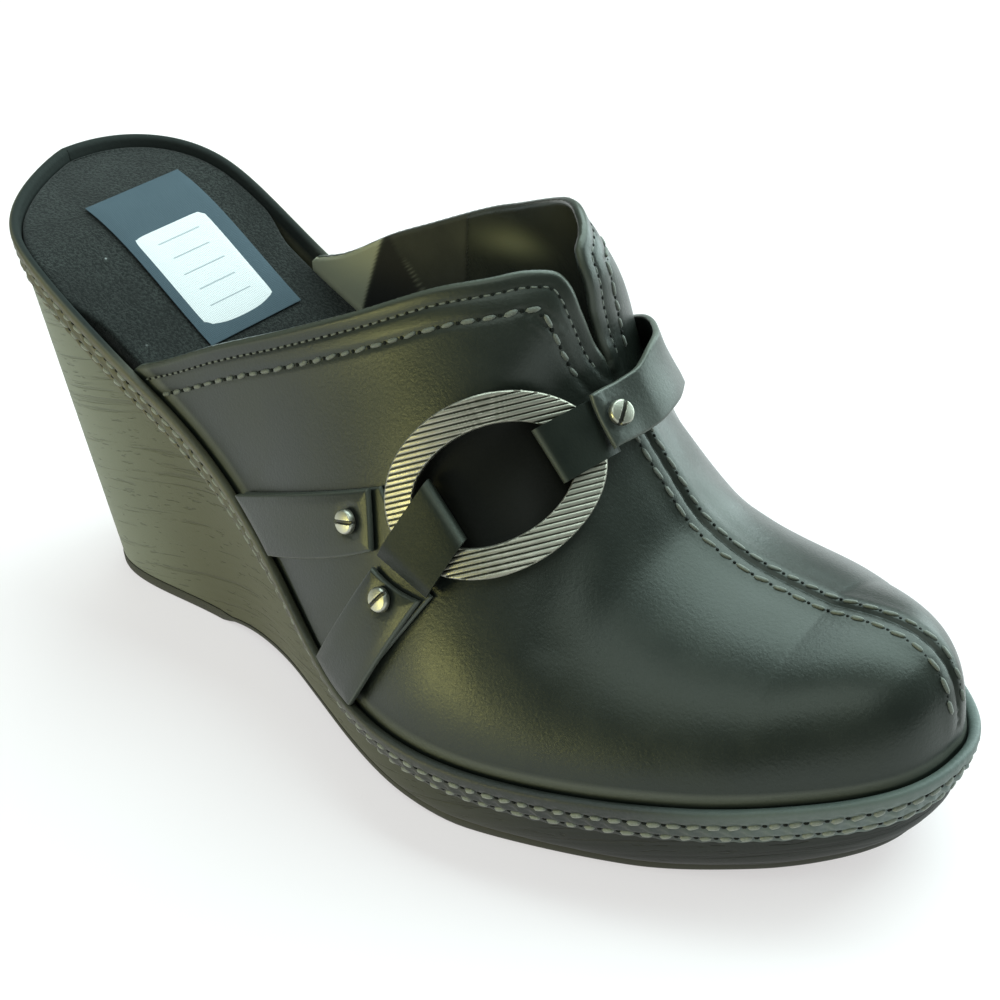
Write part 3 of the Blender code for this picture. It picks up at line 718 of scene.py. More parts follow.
def silverMaterial(name, rough, tint, deep):
    # Antique cast metal: dark in the hollows (attribute), fine scratches in the gloss
    made, tree, shader, place = newMaterial(name, rough, 1.0)
    slow = noiseNode(tree, place, 180.0, 3.0, .6)
    fine = noiseNode(tree, place, 2200.0, 2.0, .6)
    bright = mixColours(tree, rampNode(tree, slow, .35, .65), tint, tuple(.86 * v for v in tint))
    colour = mixColours(tree, attributeNode(tree, "hollow"), bright, deep)
    tree.links.new(colour, shader.inputs["Base Color"])
    gloss = mathNode(tree, "ADD", mathNode(tree, "MULTIPLY", slow, .14),
                     mathNode(tree, "MULTIPLY", fine, .08))
    tree.links.new(mathNode(tree, "ADD", gloss, rough - .11), shader.inputs["Roughness"])
    addBump(tree, shader, fine, .00003)
    return made


def threadMaterial(name, dark, light):
    made, tree, shader, place = newMaterial(name, .55)
    twist = noiseNode(tree, place, 3200.0, 2.0)
    tree.links.new(mixColours(tree, twist, dark, light), shader.inputs["Base Color"])
    shader.inputs["Sheen Weight"].default_value = .2
    addBump(tree, shader, twist, .00005)
    return made


liningLeather = liningMaterial()
bandLeather = bandMaterial()
wedgeFoam = wedgeMaterial()
outsoleRubber = dullMaterial("outsoleRubber", .4, (.030, .032, .026), (.050, .053, .042), 50.0)
insoleSuede = suedeMaterial()
labelCloth = clothMaterial("labelCloth", (.044, .072, .090), (.066, .101, .123), 900.0)
labelPanel = clothMaterial("labelPanel", (.61, .64, .65), (.69, .72, .73), 700.0)
labelRule = clothMaterial("labelRule", (.30, .34, .36), (.40, .44, .46), 700.0)
ringSilver = silverMaterial("ringSilver", .42, (.39, .385, .32), (.050, .051, .038))
studSilver = silverMaterial("studSilver", .36, (.44, .445, .375), (.02, .02, .018))
darkThread = threadMaterial("darkThread", (.045, .053, .042), (.16, .18, .145))
bandThread = threadMaterial("bandThread", (.088, .10, .08), (.22, .245, .20))
holeDark = dullMaterial("stitchHole", .1, (.006, .008, .006), (.010, .012, .010), 900.0)
print("materials made")


# Stitches: a row of short plump threads with a dark capsule between each two, painted shade inside the stitch
# hole
def resample(path, normals, pitch):
    steps = np.linalg.norm(np.diff(path, axis=0), axis=1)
    run = np.concatenate([[0], np.cumsum(steps)])
    count = max(int(run[-1] / pitch), 1)
    at = (np.arange(count) + .5) * run[-1] / count
    point = np.stack([np.interp(at, run, path[:, k]) for k in range(3)], -1)
    normal = np.stack([np.interp(at, run, normals[:, k]) for k in range(3)], -1)
    ahead = np.stack([np.interp(at + .3, run, path[:, k]) - np.interp(at - .3, run, path[:, k])
                      for k in range(3)], -1)
    normal /= np.linalg.norm(normal, axis=1, keepdims=True)
    ahead -= normal * np.sum(ahead * normal, 1, keepdims=True)
    ahead /= np.linalg.norm(ahead, axis=1, keepdims=True)
    return point, normal, ahead


def capsule(halfLength, halfWidth, halfHeight, rings=7, sides=8):
    # Ellipsoid whose middle is drawn out: the section swells fast and stays full
    t = np.linspace(-1, 1, rings)
    swell = np.sqrt(np.clip(1 - np.abs(t) ** 3.2, 0, 1))
    a = np.linspace(0, 2 * math.pi, sides, endpoint=False)
    x = np.repeat(t[:, None] * halfLength, sides, 1)
    y = swell[:, None] * np.cos(a) * halfWidth
    z = swell[:, None] * np.sin(a) * halfHeight
    return np.stack([x, y, z], -1).reshape(-1, 3), gridFaces(rings, sides, closeCols=True)


handWork = np.random.default_rng(7)


def scatter(shape, faces, point, normal, ahead, turn=0.0, wobble=0.0):
    # Copies of a shape along a path; wobble varies each one's turn and size
    count = len(point)
    turn = turn + wobble * handWork.uniform(-1, 1, count)[:, None]
    size = 1 + wobble * handWork.uniform(-1.2, .8, (count, 2))[:, :, None, None]
    side = np.cross(normal, ahead)
    along = ahead * np.cos(turn) + side * np.sin(turn)
    side = np.cross(normal, along)
    placed = point[:, None] + size[:, 0] * shape[None, :, :1] * along[:, None] \
        + size[:, 1] * shape[None, :, 1:2] * side[:, None] + shape[None, :, 2:] * normal[:, None]
    offset = np.arange(len(point))[:, None, None] * len(shape)
    return placed.reshape(-1, 3), (faces[None] + offset).reshape(-1, 4)


def stitchRows(name, rows, look, thread, slotName):
    # One joined mesh for rows of (path, normals)
    points, faces, which, total = [], [], [], 0
    for path, normals in rows:
        point, normal, ahead = resample(path, normals, look["pitch"])
        shape, quads = capsule(look["pitch"] * look["fill"] / 2, look["width"] / 2, look["width"] * .42)
        p, f = scatter(shape, quads, point + normal * look["lift"], normal, ahead,
                       look.get("slant", 0), .14)
        points.append(p)
        faces.append(f + total)
        which.append(np.zeros(len(f)))
        total += len(p)
        between = (point[1:] + point[:-1]) / 2
        hole, quads = capsule(look["hole"] / 2, look["hole"] * .42, look["hole"] * .25, 5, 6)
        p, f = scatter(hole, quads, between + normal[1:] * look["holeLift"], normal[1:], ahead[1:])
        points.append(p)
        faces.append(f + total)
        which.append(np.ones(len(f)))
        total += len(p)
    piece = makePiece(name, np.concatenate(points), np.concatenate(faces), [thread, holeDark],
                      faceMaterial=np.concatenate(which))
    return wear(piece, slotName)


# Stacked outlines with a strip-wise cap at each end
def stack(name, levels, steps, materials, slotName, node, capRows=14, topDish=0.0, **more):
    rings = []
    for inset, height in levels:
        x, y = loopAt(inset, steps)
        rings.append(np.stack([x, y, height(x)], 1))
    count = 2 * steps
    points = [np.concatenate(rings)]
    faces = [gridFaces(len(levels), count, closeCols=True)]
    total = len(points[0])
    for ring, isTop in ((rings[0], False), (rings[-1], True)):
        outer = ring[:steps + 1]
        inner = np.concatenate([ring[:1], ring[:steps - 1:-1]])
        v = np.linspace(0, 1, capRows + 1)[:, None, None]
        sheet = outer[None] * (1 - v) + inner[None] * v
        if isTop and topDish:
            sheet[..., 2] -= topDish * (1 - (2 * v[..., 0] - 1) ** 4)
        points.append(sheet.reshape(-1, 3))
        faces.append(gridFaces(capRows + 1, steps + 1, start=total))
        total += len(points[-1])
    piece = makePiece(name, np.concatenate(points), np.concatenate(faces), materials, **more)
    return wear(piece, slotName, node)


treadLook = {
    "out": .2,             # stands out past the wedge
    "rounding": [(1.0, 0), (.45, .18), (.12, .45), (0, .9)],  # inset and height of the lower edge
    "topRounding": [(0, .25), (.15, 0)],                      # inset and drop of the upper edge
}


def makeOutsole():
    def edgeInset(x):
        return underInset(x) - treadLook["out"]
    levels = [((lambda x, a=a: edgeInset(x) + a), (lambda x, h=h: under(x) + h))
              for a, h in treadLook["rounding"]]
    levels += [((lambda x, a=a: edgeInset(x) + a), (lambda x, d=d: under(x) + rubber(x) - d))
               for a, d in treadLook["topRounding"]]
    return stack("outsoleTread", levels, 150, [outsoleRubber], "outsole", "outsole", crisp=50)


wedgeLook = {"grooveDepth": .07, "groovePitch": 3.1, "wander": 1.1, "wanderLength": 19, "wanderStart": .8,
             "setIn": .9, "roundPower": 2.2, "rows": 72, "steps": 220}


def makeWedge():
    # Level t runs from the band's edge down to the rubber; the forefoot rounds in by a
    # superellipse, and shallow grooves follow the height with a slow wander
    def level(t):
        def height(x):
            low = under(x) + rubber(x) + shoe["gap"]
            high = rim(x) - shoe["bandHeight"] - shoe["gap"]
            return high + (low - high) * t

        def inset(x):
            look, share = wedgeLook, foreShare(x)
            roundIn = 1 - np.sqrt(1 - t ** look["roundPower"])
            bow = t * (1 - share) + roundIn * share
            start = look["setIn"] + bandLean(x)
            wander = look["wander"] * np.sin(x / look["wanderLength"] + look["wanderStart"])
            z = height(x) - wedgePaint["tilt"] * x + wander
            wave = .5 + .5 * np.sin(2 * math.pi * z / look["groovePitch"])
            fade = smoothStep(t * 6) * smoothStep((1 - t) * 9)
            return start + (underInset(x) - start) * bow + look["grooveDepth"] * wave ** 6 * fade
        return inset, height
    ts = 1 - (1 - np.linspace(0, 1, wedgeLook["rows"])) ** 1.15
    return stack("wedgeBody", [level(t) for t in ts], wedgeLook["steps"], [wedgeFoam], "wedge", "wedge")


# Stitches: fill is the thread's share of the pitch, slant is in radians
bandStitch = {"pitch": 3.7, "fill": .74, "width": 1.2, "lift": .16, "hole": 1.05, "holeLift": .05,
              "slant": .16}
bandLook = {
    "rows": (4.0, 8.0),    # depth of the stitch rows under the rim
    "rowSink": .48,
    "rowWidth": .75,
    "step": .30,           # the face stands in below the lip
    "pucker": .34,         # between the rows
    "puckerSides": .15,    # above and below them
}


def bandOut(x, drop):
    # How far the band's face stands in: full lip, sunk stitch rows, rolled lower edge
    rows = sum(bandLook["rowSink"] * bump(drop - d, bandLook["rowWidth"]) for d in bandLook["rows"])
    step = bandLook["step"] * smoothStep((drop - 2.2) / .8)
    return bandIn(x, drop) + rows + step


def puckered(x, y, drop):
    # Leather gathered by the stitches: soft swells along the rows, moved along the normal
    run = np.concatenate([[0], np.cumsum(np.hypot(np.diff(x), np.diff(y)))])
    nx, ny = np.gradient(y), -np.gradient(x)
    size = np.hypot(nx, ny)
    wave = np.cos(2 * math.pi * run / bandStitch["pitch"])
    first, last = bandLook["rows"]
    sides = bump(drop - first + 1.3, .7) + bump(drop - last - 1.2, .7)
    swell = wave * (bandLook["pucker"] * bump(drop - (first + last) / 2, 1.1)
                    + bandLook["puckerSides"] * sides)
    return x + nx / size * swell, y + ny / size * swell


def makeBand():
    # Profile of (inset, depth under the rim): up the face, over the rounded lip, down inside
    steps, full, wall = 640, shoe["bandHeight"], shoe["bandWall"]
    profile = [(.55, full), (.18, full - .1)]
    profile += [(0, d) for d in np.linspace(full, 1.1, 34)[1:]]
    profile += [(.05, .75), (.18, .42), (.42, .16), (.75, .03), (1.1, 0), (1.5, .05), (1.85, .22),
                (2.1, .5), (wall, .9), (wall, 3.0), (wall, 5.4), (wall, full)]
    rings, lip = [], []
    for inset, drop in profile:
        face = inset < .6 and drop > .9
        form = bandOut if face else bandIn
        x, y = loopAt(lambda at: inset + form(at, drop), steps)
        height = rim(x) - drop
        if face:
            x, y = puckered(x, y, drop)
        rings.append(np.stack([x, y, height], 1))
        lip.append(np.full(len(x), smoothStep((inset - .3) / .6) if drop < 5 else 0))
    piece = makePiece("bandCover", np.concatenate(rings),
                      gridFaces(len(profile), 2 * steps, closeRows=True, closeCols=True), [bandLeather],
                      attributes={"lip": np.concatenate(lip)})
    wear(piece, "platform_band", "platform_band")
    rows = []
    for drop in bandLook["rows"]:
        x, y = loopAt(lambda at: bandOut(at, drop), 600)
        path = np.stack([x, y, rim(x) - drop], 1)
        path = np.concatenate([path, path[:1]])
        flat = np.gradient(path[:, :2], axis=0)
        normals = np.stack([flat[:, 1], -flat[:, 0], np.zeros(len(flat))], 1)
        normals /= np.linalg.norm(normals, axis=1, keepdims=True)
        rows.append((path, normals))
    stitchRows("bandStitches", rows, bandStitch, bandThread, "platform_band")


# The insole fills the band at the heel and lies inside the tucked leather before it
insoleLook = {"heelTo": 38.0, "blend": 10.0, "clear": .5, "dish": .25}


def insoleInset(drop, extra):
    def inset(x):
        t = smoothStep((x - insoleLook["heelTo"]) / insoleLook["blend"])
        heel = shoe["bandWall"] + shoe["gap"] + bandIn(x, drop)
        fore = shoe["upperInset"] + tuckLean(x, drop) + shoe["upperWall"] + insoleLook["clear"]
        return heel + (fore - heel) * t + extra
    return inset


def makeInsole():
    drop = shoe["insoleDrop"]
    full = shoe["bandHeight"]
    levels = [(insoleInset(full, 0), lambda x: rim(x) - full),
              (insoleInset(drop + 1, 0), lambda x: rim(x) - drop - 1)]
    levels += [(insoleInset(drop, a), (lambda x, h=h: rim(x) - drop - h)) for a, h in
               ((.1, .6), (.3, .3), (.6, .1), (1.0, 0))]
    return stack("insoleSuedeCover", levels, 200, [insoleSuede], "insole", "insole", capRows=40,
                 topDish=insoleLook["dish"])


labelLook = {"start": 21.2, "length": 38.8, "side": 3.1, "width": 27.9, "wall": .5}
panelLook = {"u": (.33, .91), "v": (.09, .84), "bow": .025, "corner": .035, "rise": .12}
ruleLook = {"rows": (.42, .52, .62, .72, .82), "inset": .12, "shorter": .03, "half": .007, "rise": .17}


def labelPoint(u, v, lift):
    # u from the heel to the front, v from the outer to the inner side
    x = labelLook["start"] + labelLook["length"] * u
    y = labelLook["side"] + labelLook["width"] * (v - .5)
    return np.stack([x, y, rim(x) - shoe["insoleDrop"] + lift], -1)


def plate(name, u0, u1, v0, v1, low, high, material, bow=0.0, corner=0.0,
          rows=24, cols=18):
    # Thin plate on the label's own grid, its edge rounded over, front edge bowed
    u, v = np.meshgrid(np.linspace(0, 1, rows), np.linspace(0, 1, cols), indexing="ij")
    edge = np.minimum(np.minimum(u, 1 - u) * rows, np.minimum(v, 1 - v) * cols)
    top = low + (high - low) * np.where(edge < .5, .35, np.where(edge < 1.5, .85, 1))
    a, b = 2 * u - 1, 2 * v - 1
    uu = u0 + (u1 - u0) * (.5 + .5 * a * (1 - corner * b ** 10)) + bow * (1 - b ** 2) * u
    vv = v0 + (v1 - v0) * (.5 + .5 * b * (1 - corner * a ** 14))
    upper = labelPoint(uu, vv, top)
    lower = labelPoint(uu, vv, np.full_like(top, low))
    points = np.concatenate([upper.reshape(-1, 3), lower.reshape(-1, 3)])
    return wear(makePiece(name, points, sheetFaces(rows, cols), [material], crisp=50), "insole_label")


def makeLabel():
    gap = shoe["gap"]
    top = gap + labelLook["wall"]
    base = plate("labelBase", 0, 1, 0, 1, gap, top, labelCloth)
    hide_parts("insole_label")
    u, v = panelLook["u"], panelLook["v"]
    plate("labelPanel", u[0], u[1], v[0], v[1], top - .1, top + panelLook["rise"], labelPanel,
          panelLook["bow"], panelLook["corner"])
    for k, at in enumerate(ruleLook["rows"]):
        inset = ruleLook["inset"] + ruleLook["shorter"] * (k % 2)
        plate(f"labelRule{k}", at - ruleLook["half"], at + ruleLook["half"], v[0] + inset, v[1] - inset,
              top, top + ruleLook["rise"], labelRule, rows=4, cols=12)


# Ring in its own frame: along, across and off the skin
ringFrame = {
    "centre": (161.36, -27.65, 70.74),
    "away": (.5190, -.6996, .4911),
    "along": (-.6299, -.7014, -.3335),
    "bend": (-.0142, .0061, .0050),
}
ringLook = {"halfLength": 22.0, "halfWidth": 16.5, "band": 5.9, "wall": 2.0,
            "groovePitch": 1.04, "grooveHalf": .23, "grooveDepth": .24, "grooveTurn": -11.0,
            "dish": .12, "steps": 1280}
ringAway = np.array(ringFrame["away"]) / np.linalg.norm(ringFrame["away"])
ringAlong = np.array(ringFrame["along"]) - ringAway * np.dot(ringFrame["along"], ringAway)
ringAlong = ringAlong / np.linalg.norm(ringAlong)
ringAcross = np.cross(ringAway, ringAlong)


# Upper: two panels, each with an outer and an inner face
upperGrid = {"rear": 210, "front": 110, "rows": 110, "innerRows": 40}
seamLook = {"groove": .55, "grooveWidth": .55, "swell": .32, "swellAt": 2.4, "swellWidth": 2.0,
            "lateral": 3.0, "medial": 1.3}  # the last two: stitch rows beside the seam
toplineLook = {"firstRow": 3.2, "firstWidth": .55, "secondRow": 7.3, "secondWidth": .8, "rowDepth": .20,
               "secondDeeper": 1.2, "pad": .10, "padWidth": 1.5, "bead": .16, "beadAt": 1.2,
               "beadWidth": 1.0, "collarTo": 141.0}
flare = {"out": .50, "fade": 1.9}  # how the edge stands out where it goes down behind the band
# Creases: start and end as (foot x, c), depth and half width in millimetres
creases = [
    ((113.0, -.271), (122.4, -.192), .10, .50),
    ((115.0, -.258), (126.7, -.176), .13, .55),
    ((117.4, -.241), (130.0, -.161), .12, .50),
    ((117.3, -.218), (128.7, -.138), .09, .50),
    ((118.1, -.253), (128.1, -.195), .10, .50),
    ((163.0, -.30), (176.0, -.62), .22, 3.6),
    ((168.0, .18), (178.0, .55), .20, 3.2),
    ((152.0, .30), (160.0, .62), .20, 2.8),
]


def topRise(x, side):
    return steady(np.asarray(x) / length, topline[side]["share"], topline[side]["rise"])


def upperColumns(side):
    throat = throatShare * length
    rear = np.linspace(topline[side]["share"][0] * length, throat, upperGrid["rear"])
    turn = np.linspace(math.acos(1 - 2 * throat / toeEnd), math.pi - .05, upperGrid["front"])
    return np.concatenate([rear, (toeEnd * (1 - np.cos(turn)) / 2)[1:]])


def distanceTo(points, line):
    # Shortest distance from each point to a densely sampled line, in chunks
    flat = points.reshape(-1, 3)
    out = np.empty(len(flat))
    for k in range(0, len(flat), 4000):
        out[k:k + 4000] = np.sqrt(((flat[k:k + 4000, None] - line[None]) ** 2).sum(-1).min(1))
    return out.reshape(points.shape[:-1])


def toplinePath(side, count=500):
    sign = -1 if side == "lateral" else 1
    x = np.linspace(topline[side]["share"][0] * length, throatShare * length, count)
    return skin(x, sign * (1 - topRise(x, side)))


def ridgePath(count=500):
    x = np.linspace(throatShare * length, toeEnd - .15, count)
    return skin(x, 0)


edgeLines = {s: toplinePath(s) for s in ("lateral", "medial")}
seamLine = ridgePath()


def relief(x, c, p, side):
    # Height over the skin: rolled edge, sunk stitch rows, seam groove with a swell each side
    toEdge = distanceTo(p, edgeLines[side])
    toSeam = distanceTo(p, seamLine)
    look = toplineLook
    edgeRow = bump(toEdge - look["firstRow"], look["firstWidth"]) * look["rowDepth"]
    padRow = bump(toEdge - look["secondRow"], look["secondWidth"]) * look["rowDepth"] * look["secondDeeper"]
    pad = look["pad"] * bump(toEdge - (look["firstRow"] + look["secondRow"]) / 2, look["padWidth"])
    bead = look["bead"] * bump(toEdge - look["beadAt"], look["beadWidth"])
    groove = seamLook["groove"] * bump(toSeam, seamLook["grooveWidth"])
    swell = seamLook["swell"] * bump(toSeam - seamLook["swellAt"], seamLook["swellWidth"])
    h = bead + pad - edgeRow - padRow - groove + swell
    for start, end, depth, width in creases:
        if (start[1] < 0) != (side == "lateral"):
            continue
        line = np.linspace(0, 1, 40)[:, None]
        at = np.asarray(start) + (np.asarray(end) - np.asarray(start)) * line
        path = skin(at[:, 0], at[:, 1])
        near = distanceTo(p, path[8:-8])
        h = h - depth * bump(near, width) + depth * .5 * bump(near - width * 1.9, width)
    low = p[..., 2] - (rim(np.minimum(x, length)) - shoe["featherDrop"])
    return h + flare["out"] * np.exp(-np.clip(low, 0, None) / flare["fade"]), toEdge


def panel(side, k):
    sign = -1 if side == "lateral" else 1
    cols = upperColumns(side)
    rows = upperGrid["rows"] if k == 0 else upperGrid["innerRows"]
    share = np.linspace(0, 1, rows + 1)
    share = 1 - (1 - share) ** 1.25
    rise = topRise(cols, side)
    x = np.repeat(cols[:, None], rows + 1, 1)
    c = sign * (1 - share[None] * rise[:, None])
    p, n = skin(x, c), skinNormal(x, c)
    h, toEdge = relief(x, c, p, side)
    lift = h if k == 0 else np.full(x.shape, -shoe["upperWall"])
    # Both faces draw together over the last stretch to a rounded topline
    roll = np.clip(1 - toEdge / 1.0, 0, 1)
    lift = lift + (-shoe["upperWall"] / 2 - lift) * (1 - np.sqrt(1 - roll ** 2)) * .8
    q = p + n * lift[..., None]
    level = n[:, 0, :2] / np.linalg.norm(n[:, 0, :2], axis=1, keepdims=True)
    foot = q[:, 0].copy()
    foot[:, :2] -= level * tuckLean(foot[:, 0], shoe["upperTuck"] + shoe["featherDrop"])[:, None]
    foot[:, 2] = rim(np.minimum(foot[:, 0], length)) - shoe["featherDrop"] - shoe["upperTuck"]
    return np.concatenate([foot[:, None], q], 1), x, c, toEdge


def makeUpper():
    joined = upperGrid["rear"] - 1
    grids = {(s, k): panel(s, k) for s in ("lateral", "medial") for k in (0, 1)}
    for k in (0, 1):
        a, b = grids[("lateral", k)][0], grids[("medial", k)][0]
        middleLine = (a[joined:, -1] + b[joined:, -1]) / 2
        a[joined:, -1] = middleLine
        b[joined:, -1] = middleLine
    points, faces, which, total, index = [], [], [], 0, {}
    marks = {key: [] for key in ("patch", "gore", "trim", "cloth", "paintedGlint", "edge", "shade", "foot")}
    for (side, k), (grid, x, c, toEdge) in grids.items():
        n, m = grid.shape[:2]
        index[(side, k)] = total + np.arange(n * m).reshape(n, m)
        points.append(grid.reshape(-1, 3))
        quads = gridFaces(n, m, start=total)
        faces.append(quads)
        which.append(np.full(len(quads), k))
        wide = np.concatenate([x[:, :1], x], 1), np.concatenate([c[:, :1], c], 1)
        inside = float(k == 1 and side == "medial")
        for key, values in liningMarks(*wide).items():
            marks[key].append((inside * values).ravel())
        wideEdge = np.concatenate([toEdge[:, :1], toEdge], 1)
        marks["edge"].append(((k == 0) * bump(wideEdge - .3, .55)).ravel())
        marks["shade"].append(((k == 0) * ringShade(grid)).ravel())
        # Painted highlight: pale strip just above the feather edge, where the leather rolls out into the
        # light
        low = grid[..., 2] - rim(np.minimum(wide[0], length))
        marks["foot"].append(((k == 0) * smoothStep((2.6 - low) / 1.2) * smoothStep((low + .1) / .5)).ravel())
        total += n * m

    def strip(a, b, kind):
        faces.append(np.stack([a[:-1], a[1:], b[1:], b[:-1]], -1))
        which.append(np.full(len(a) - 1, kind))

    def ladder(a, b, kind):
        # Joins two edges that have different counts of points
        pick = np.round(np.linspace(0, len(a) - 1, len(b))).astype(int)
        for i in range(len(b) - 1):
            run = a[pick[i]:pick[i + 1] + 1]
            for j in range(len(run) - 1):
                last = b[i + 1] if j == len(run) - 2 else b[i]
                faces.append(np.array([[run[j], run[j + 1], last, b[i]]]))
                which.append(np.array([kind]))
    for side in ("lateral", "medial"):
        out, inn = index[(side, 0)], index[(side, 1)]
        strip(out[:, 0], inn[:, 0], 0)
        strip(out[:joined + 1, -1], inn[:joined + 1, -1], 0)
        ladder(out[0], inn[0], 0)
    for k in (0, 1):
        strip(index[("lateral", k)][-1], index[("medial", k)][-1], k)
    a, b = index[("lateral", 0)][-1, 0], index[("medial", 0)][-1, 0]
    c, d = index[("medial", 1)][-1, 0], index[("lateral", 1)][-1, 0]
    faces.append(np.array([[a, b, c, d]]))
    which.append(np.array([0]))
    piece = makePiece("upperShell", np.concatenate(points), np.concatenate(faces),
                      [upperLeather, liningLeather], faceMaterial=np.concatenate(which),
                      attributes={key: np.concatenate(values) for key, values in marks.items()})
    return wear(piece, "upper", "upper")


# Lines inside the inner quarter: foot x at a place c, and how x grows with c
liningLines = {"patch": (62.5, .869, 47), "gore": (64.5, .850, 380), "seam": (76.0, .707, 90),
               "paintedGlint": (88.6, .62, -97.6)}
liningLook = {"goreLeast": 1.5, "soft": .6, "seam": .8, "seamWidth": .5, "trim": .4, "trimFrom": .855,
              "glintWidth": 4.2, "glintReach": .075}


def liningMarks(x, c):
    # Inside of the inner quarter: pale patch at the back, dark gore, a painted highlight along
    # the gore's folded edge, a painted golden highlight, and cloth behind the seam
    look = liningLook
    lines = {key: at + (c - place) * grow for key, (at, place, grow) in liningLines.items()}
    gore = np.maximum(lines["gore"], lines["patch"] + look["goreLeast"])
    within = smoothStep((x - lines["patch"]) / look["soft"]) * smoothStep((gore - x) / look["soft"])
    seam = look["seam"] * bump(x - lines["seam"], look["seamWidth"])
    # Painted highlight: a golden glint across the lining
    wearAndSheen = bump(x - lines["paintedGlint"], look["glintWidth"]) * bump(c - liningLines["paintedGlint"][1], look["glintReach"])
    return {"patch": smoothStep((lines["patch"] - x) / look["soft"]), "gore": np.clip(within + seam, 0, 1),
            # Painted highlight: pale line along the gore's folded edge
            "trim": look["trim"] * bump(x - gore - 1, 1.0) * smoothStep((c - look["trimFrom"]) / .01),
            "paintedGlint": wearAndSheen, "cloth": smoothStep((lines["seam"] - x) / .5)}


def ringShade(points):
    # The leather behind the ring lies in its shade
    local = points - np.array(ringFrame["centre"])
    along, across = local @ ringAlong, local @ ringAcross
    reach = np.hypot(along / (ringLook["halfLength"] - 2), across / (ringLook["halfWidth"] - 2))
    return smoothStep((1.12 - reach) / .35) * (points[..., 1] < 0)


def rowAt(side, distance, last=None, seam=False):
    # Path on the skin at a set distance from the topline or from the seam
    sign = -1 if side == "lateral" else 1
    if seam:
        cols = np.linspace(throatShare * length + 6, toeEnd - .6, 260)
        lines, top = seamLine, np.ones(260)
    else:
        cols = np.linspace(topline[side]["share"][0] * length, throatShare * length - .5, 320)
        lines, top = edgeLines[side], topRise(cols, side)
    if last:
        cols, top = cols[cols <= last], top[cols <= last]
    share = np.linspace(0, 1, 160)
    x = np.repeat(cols[:, None], 160, 1)
    c = sign * (1 - share[None] * top[:, None])
    p = skin(x, c)
    d = distanceTo(p, lines)
    found = [(cols[i], np.interp(-distance, -d[i], c[i])) for i in range(len(cols)) if d[i, 0] > distance]
    at = np.array(found)
    h = relief(at[:, 0], at[:, 1], skin(at[:, 0], at[:, 1]), side)[0]
    return onSkin(at[:, 0], at[:, 1], h), skinNormal(at[:, 0], at[:, 1])


fineStitch = {"pitch": 2.2, "fill": .66, "width": .42, "lift": -.05, "hole": .8, "holeLift": .03}
heavyStitch = {"pitch": 4.0, "fill": .76, "width": .95, "lift": .10, "hole": 1.0, "holeLift": .03,
               "slant": .10}
seamStitch = {"pitch": 4.15, "fill": .76, "width": .90, "lift": .10, "hole": .75, "holeLift": .03,
              "slant": .12}


def makeUpperStitches():
    look = toplineLook
    rows = {
        "edgeStitches": ([rowAt(s, look["firstRow"]) for s in ("lateral", "medial")], fineStitch),
        "collarStitches": ([rowAt(s, look["secondRow"], look["collarTo"]) for s in ("lateral", "medial")],
                           heavyStitch),
        "seamStitches": ([rowAt(s, seamLook[s], seam=True) for s in ("lateral", "medial")], seamStitch),
    }
    for name, (paths, stitch) in rows.items():
        stitchRows(name, paths, stitch, darkThread, "upper")


# Straps: sheets laid on the skin between two edges. along runs up from the sole, and on the
# instep strap from the ring over to the inner side; x and c are places on the skin; low is
# (along, lift of the back edge, lift of the front edge)
straps = {
    "strap_base": {"along": [0, 1], "xBack": [91.5, 116.6], "xFront": [136.0, 145.0],
                   "cBack": [-.970, -.649], "cFront": [-.970, -.635],
                   "low": [(0, .3, .3), (1, .3, .3)], "wall": 1.0, "size": (60, 70)},
    "rear_strap": {"along": [0, 1], "xBack": [91.0, 115.6], "xFront": [104.9, 124.5],
                   "cBack": [-.978, -.664], "cFront": [-.978, -.703],
                   "low": [(0, 1.6, 1.6), (1, 1.6, 1.6)], "wall": 1.6, "size": (70, 36)},
    "front_strap": {"along": [0, 1], "xBack": [125.2, 126.8], "xFront": [138.5, 143.6],
                    "cBack": [-.978, -.715], "cFront": [-.978, -.653],
                    "low": [(0, 1.6, 1.6), (1, 1.6, 1.6)], "wall": 1.6, "size": (70, 40)},
    "instep_strap": {"along": [0, .05, .10, .16, .25, .34, .45, .60, .80, 1],
                     "xBack": [143.6, 144.6, 146.3, 146.6, 138.0, 132.0, 125.0, 116.0, 106.0, 99.0],
                     "xFront": [159.4, 160.2, 161.3, 161.5, 159.0, 152.2, 144.0, 134.0, 122.0, 113.0],
                     "cBack": [-.160, -.130, -.075, 0, .140, .280, .420, .600, .800, .978],
                     "cFront": [-.170, -.130, -.070, 0, .150, .310, .450, .630, .810, .978],
                     "low": [(0, 5.4, 5.1), (.03, 5.2, 4.9), (.06, 4.6, 4.5), (.10, 4.3, 3.7),
                             (.16, 4.9, 3.9), (.25, 5.7, 4.5), (.34, 3.1, 3.9), (.45, .9, 2.4),
                             (.60, .4, 1.0), (.80, .4, .4), (1, .4, .4)],
                     "wall": 1.6, "leather": instepLeather, "size": (200, 40)},
}
strapEdge = {"round": .55, "pillow": .22, "pillowWidth": 1.6, "wearAndSheen": .28}
studs = {
    "rear_stud": {"foot": 116.4, "c": -.726, "lift": 3.5, "slot": -14},
    "front_stud": {"foot": 134.5, "c": -.714, "lift": 3.5, "slot": -53},
    "instep_stud": {"foot": 154.1, "c": -.118, "lift": 6.8, "slot": -50},
}
studSize = {"radius": 2.5, "height": 1.5, "slotHalf": .35, "slotDepth": .55, "dent": .35,
            "dentWidth": 1.2, "dome": .28, "rimDrop": .45, "rimWidth": .16}


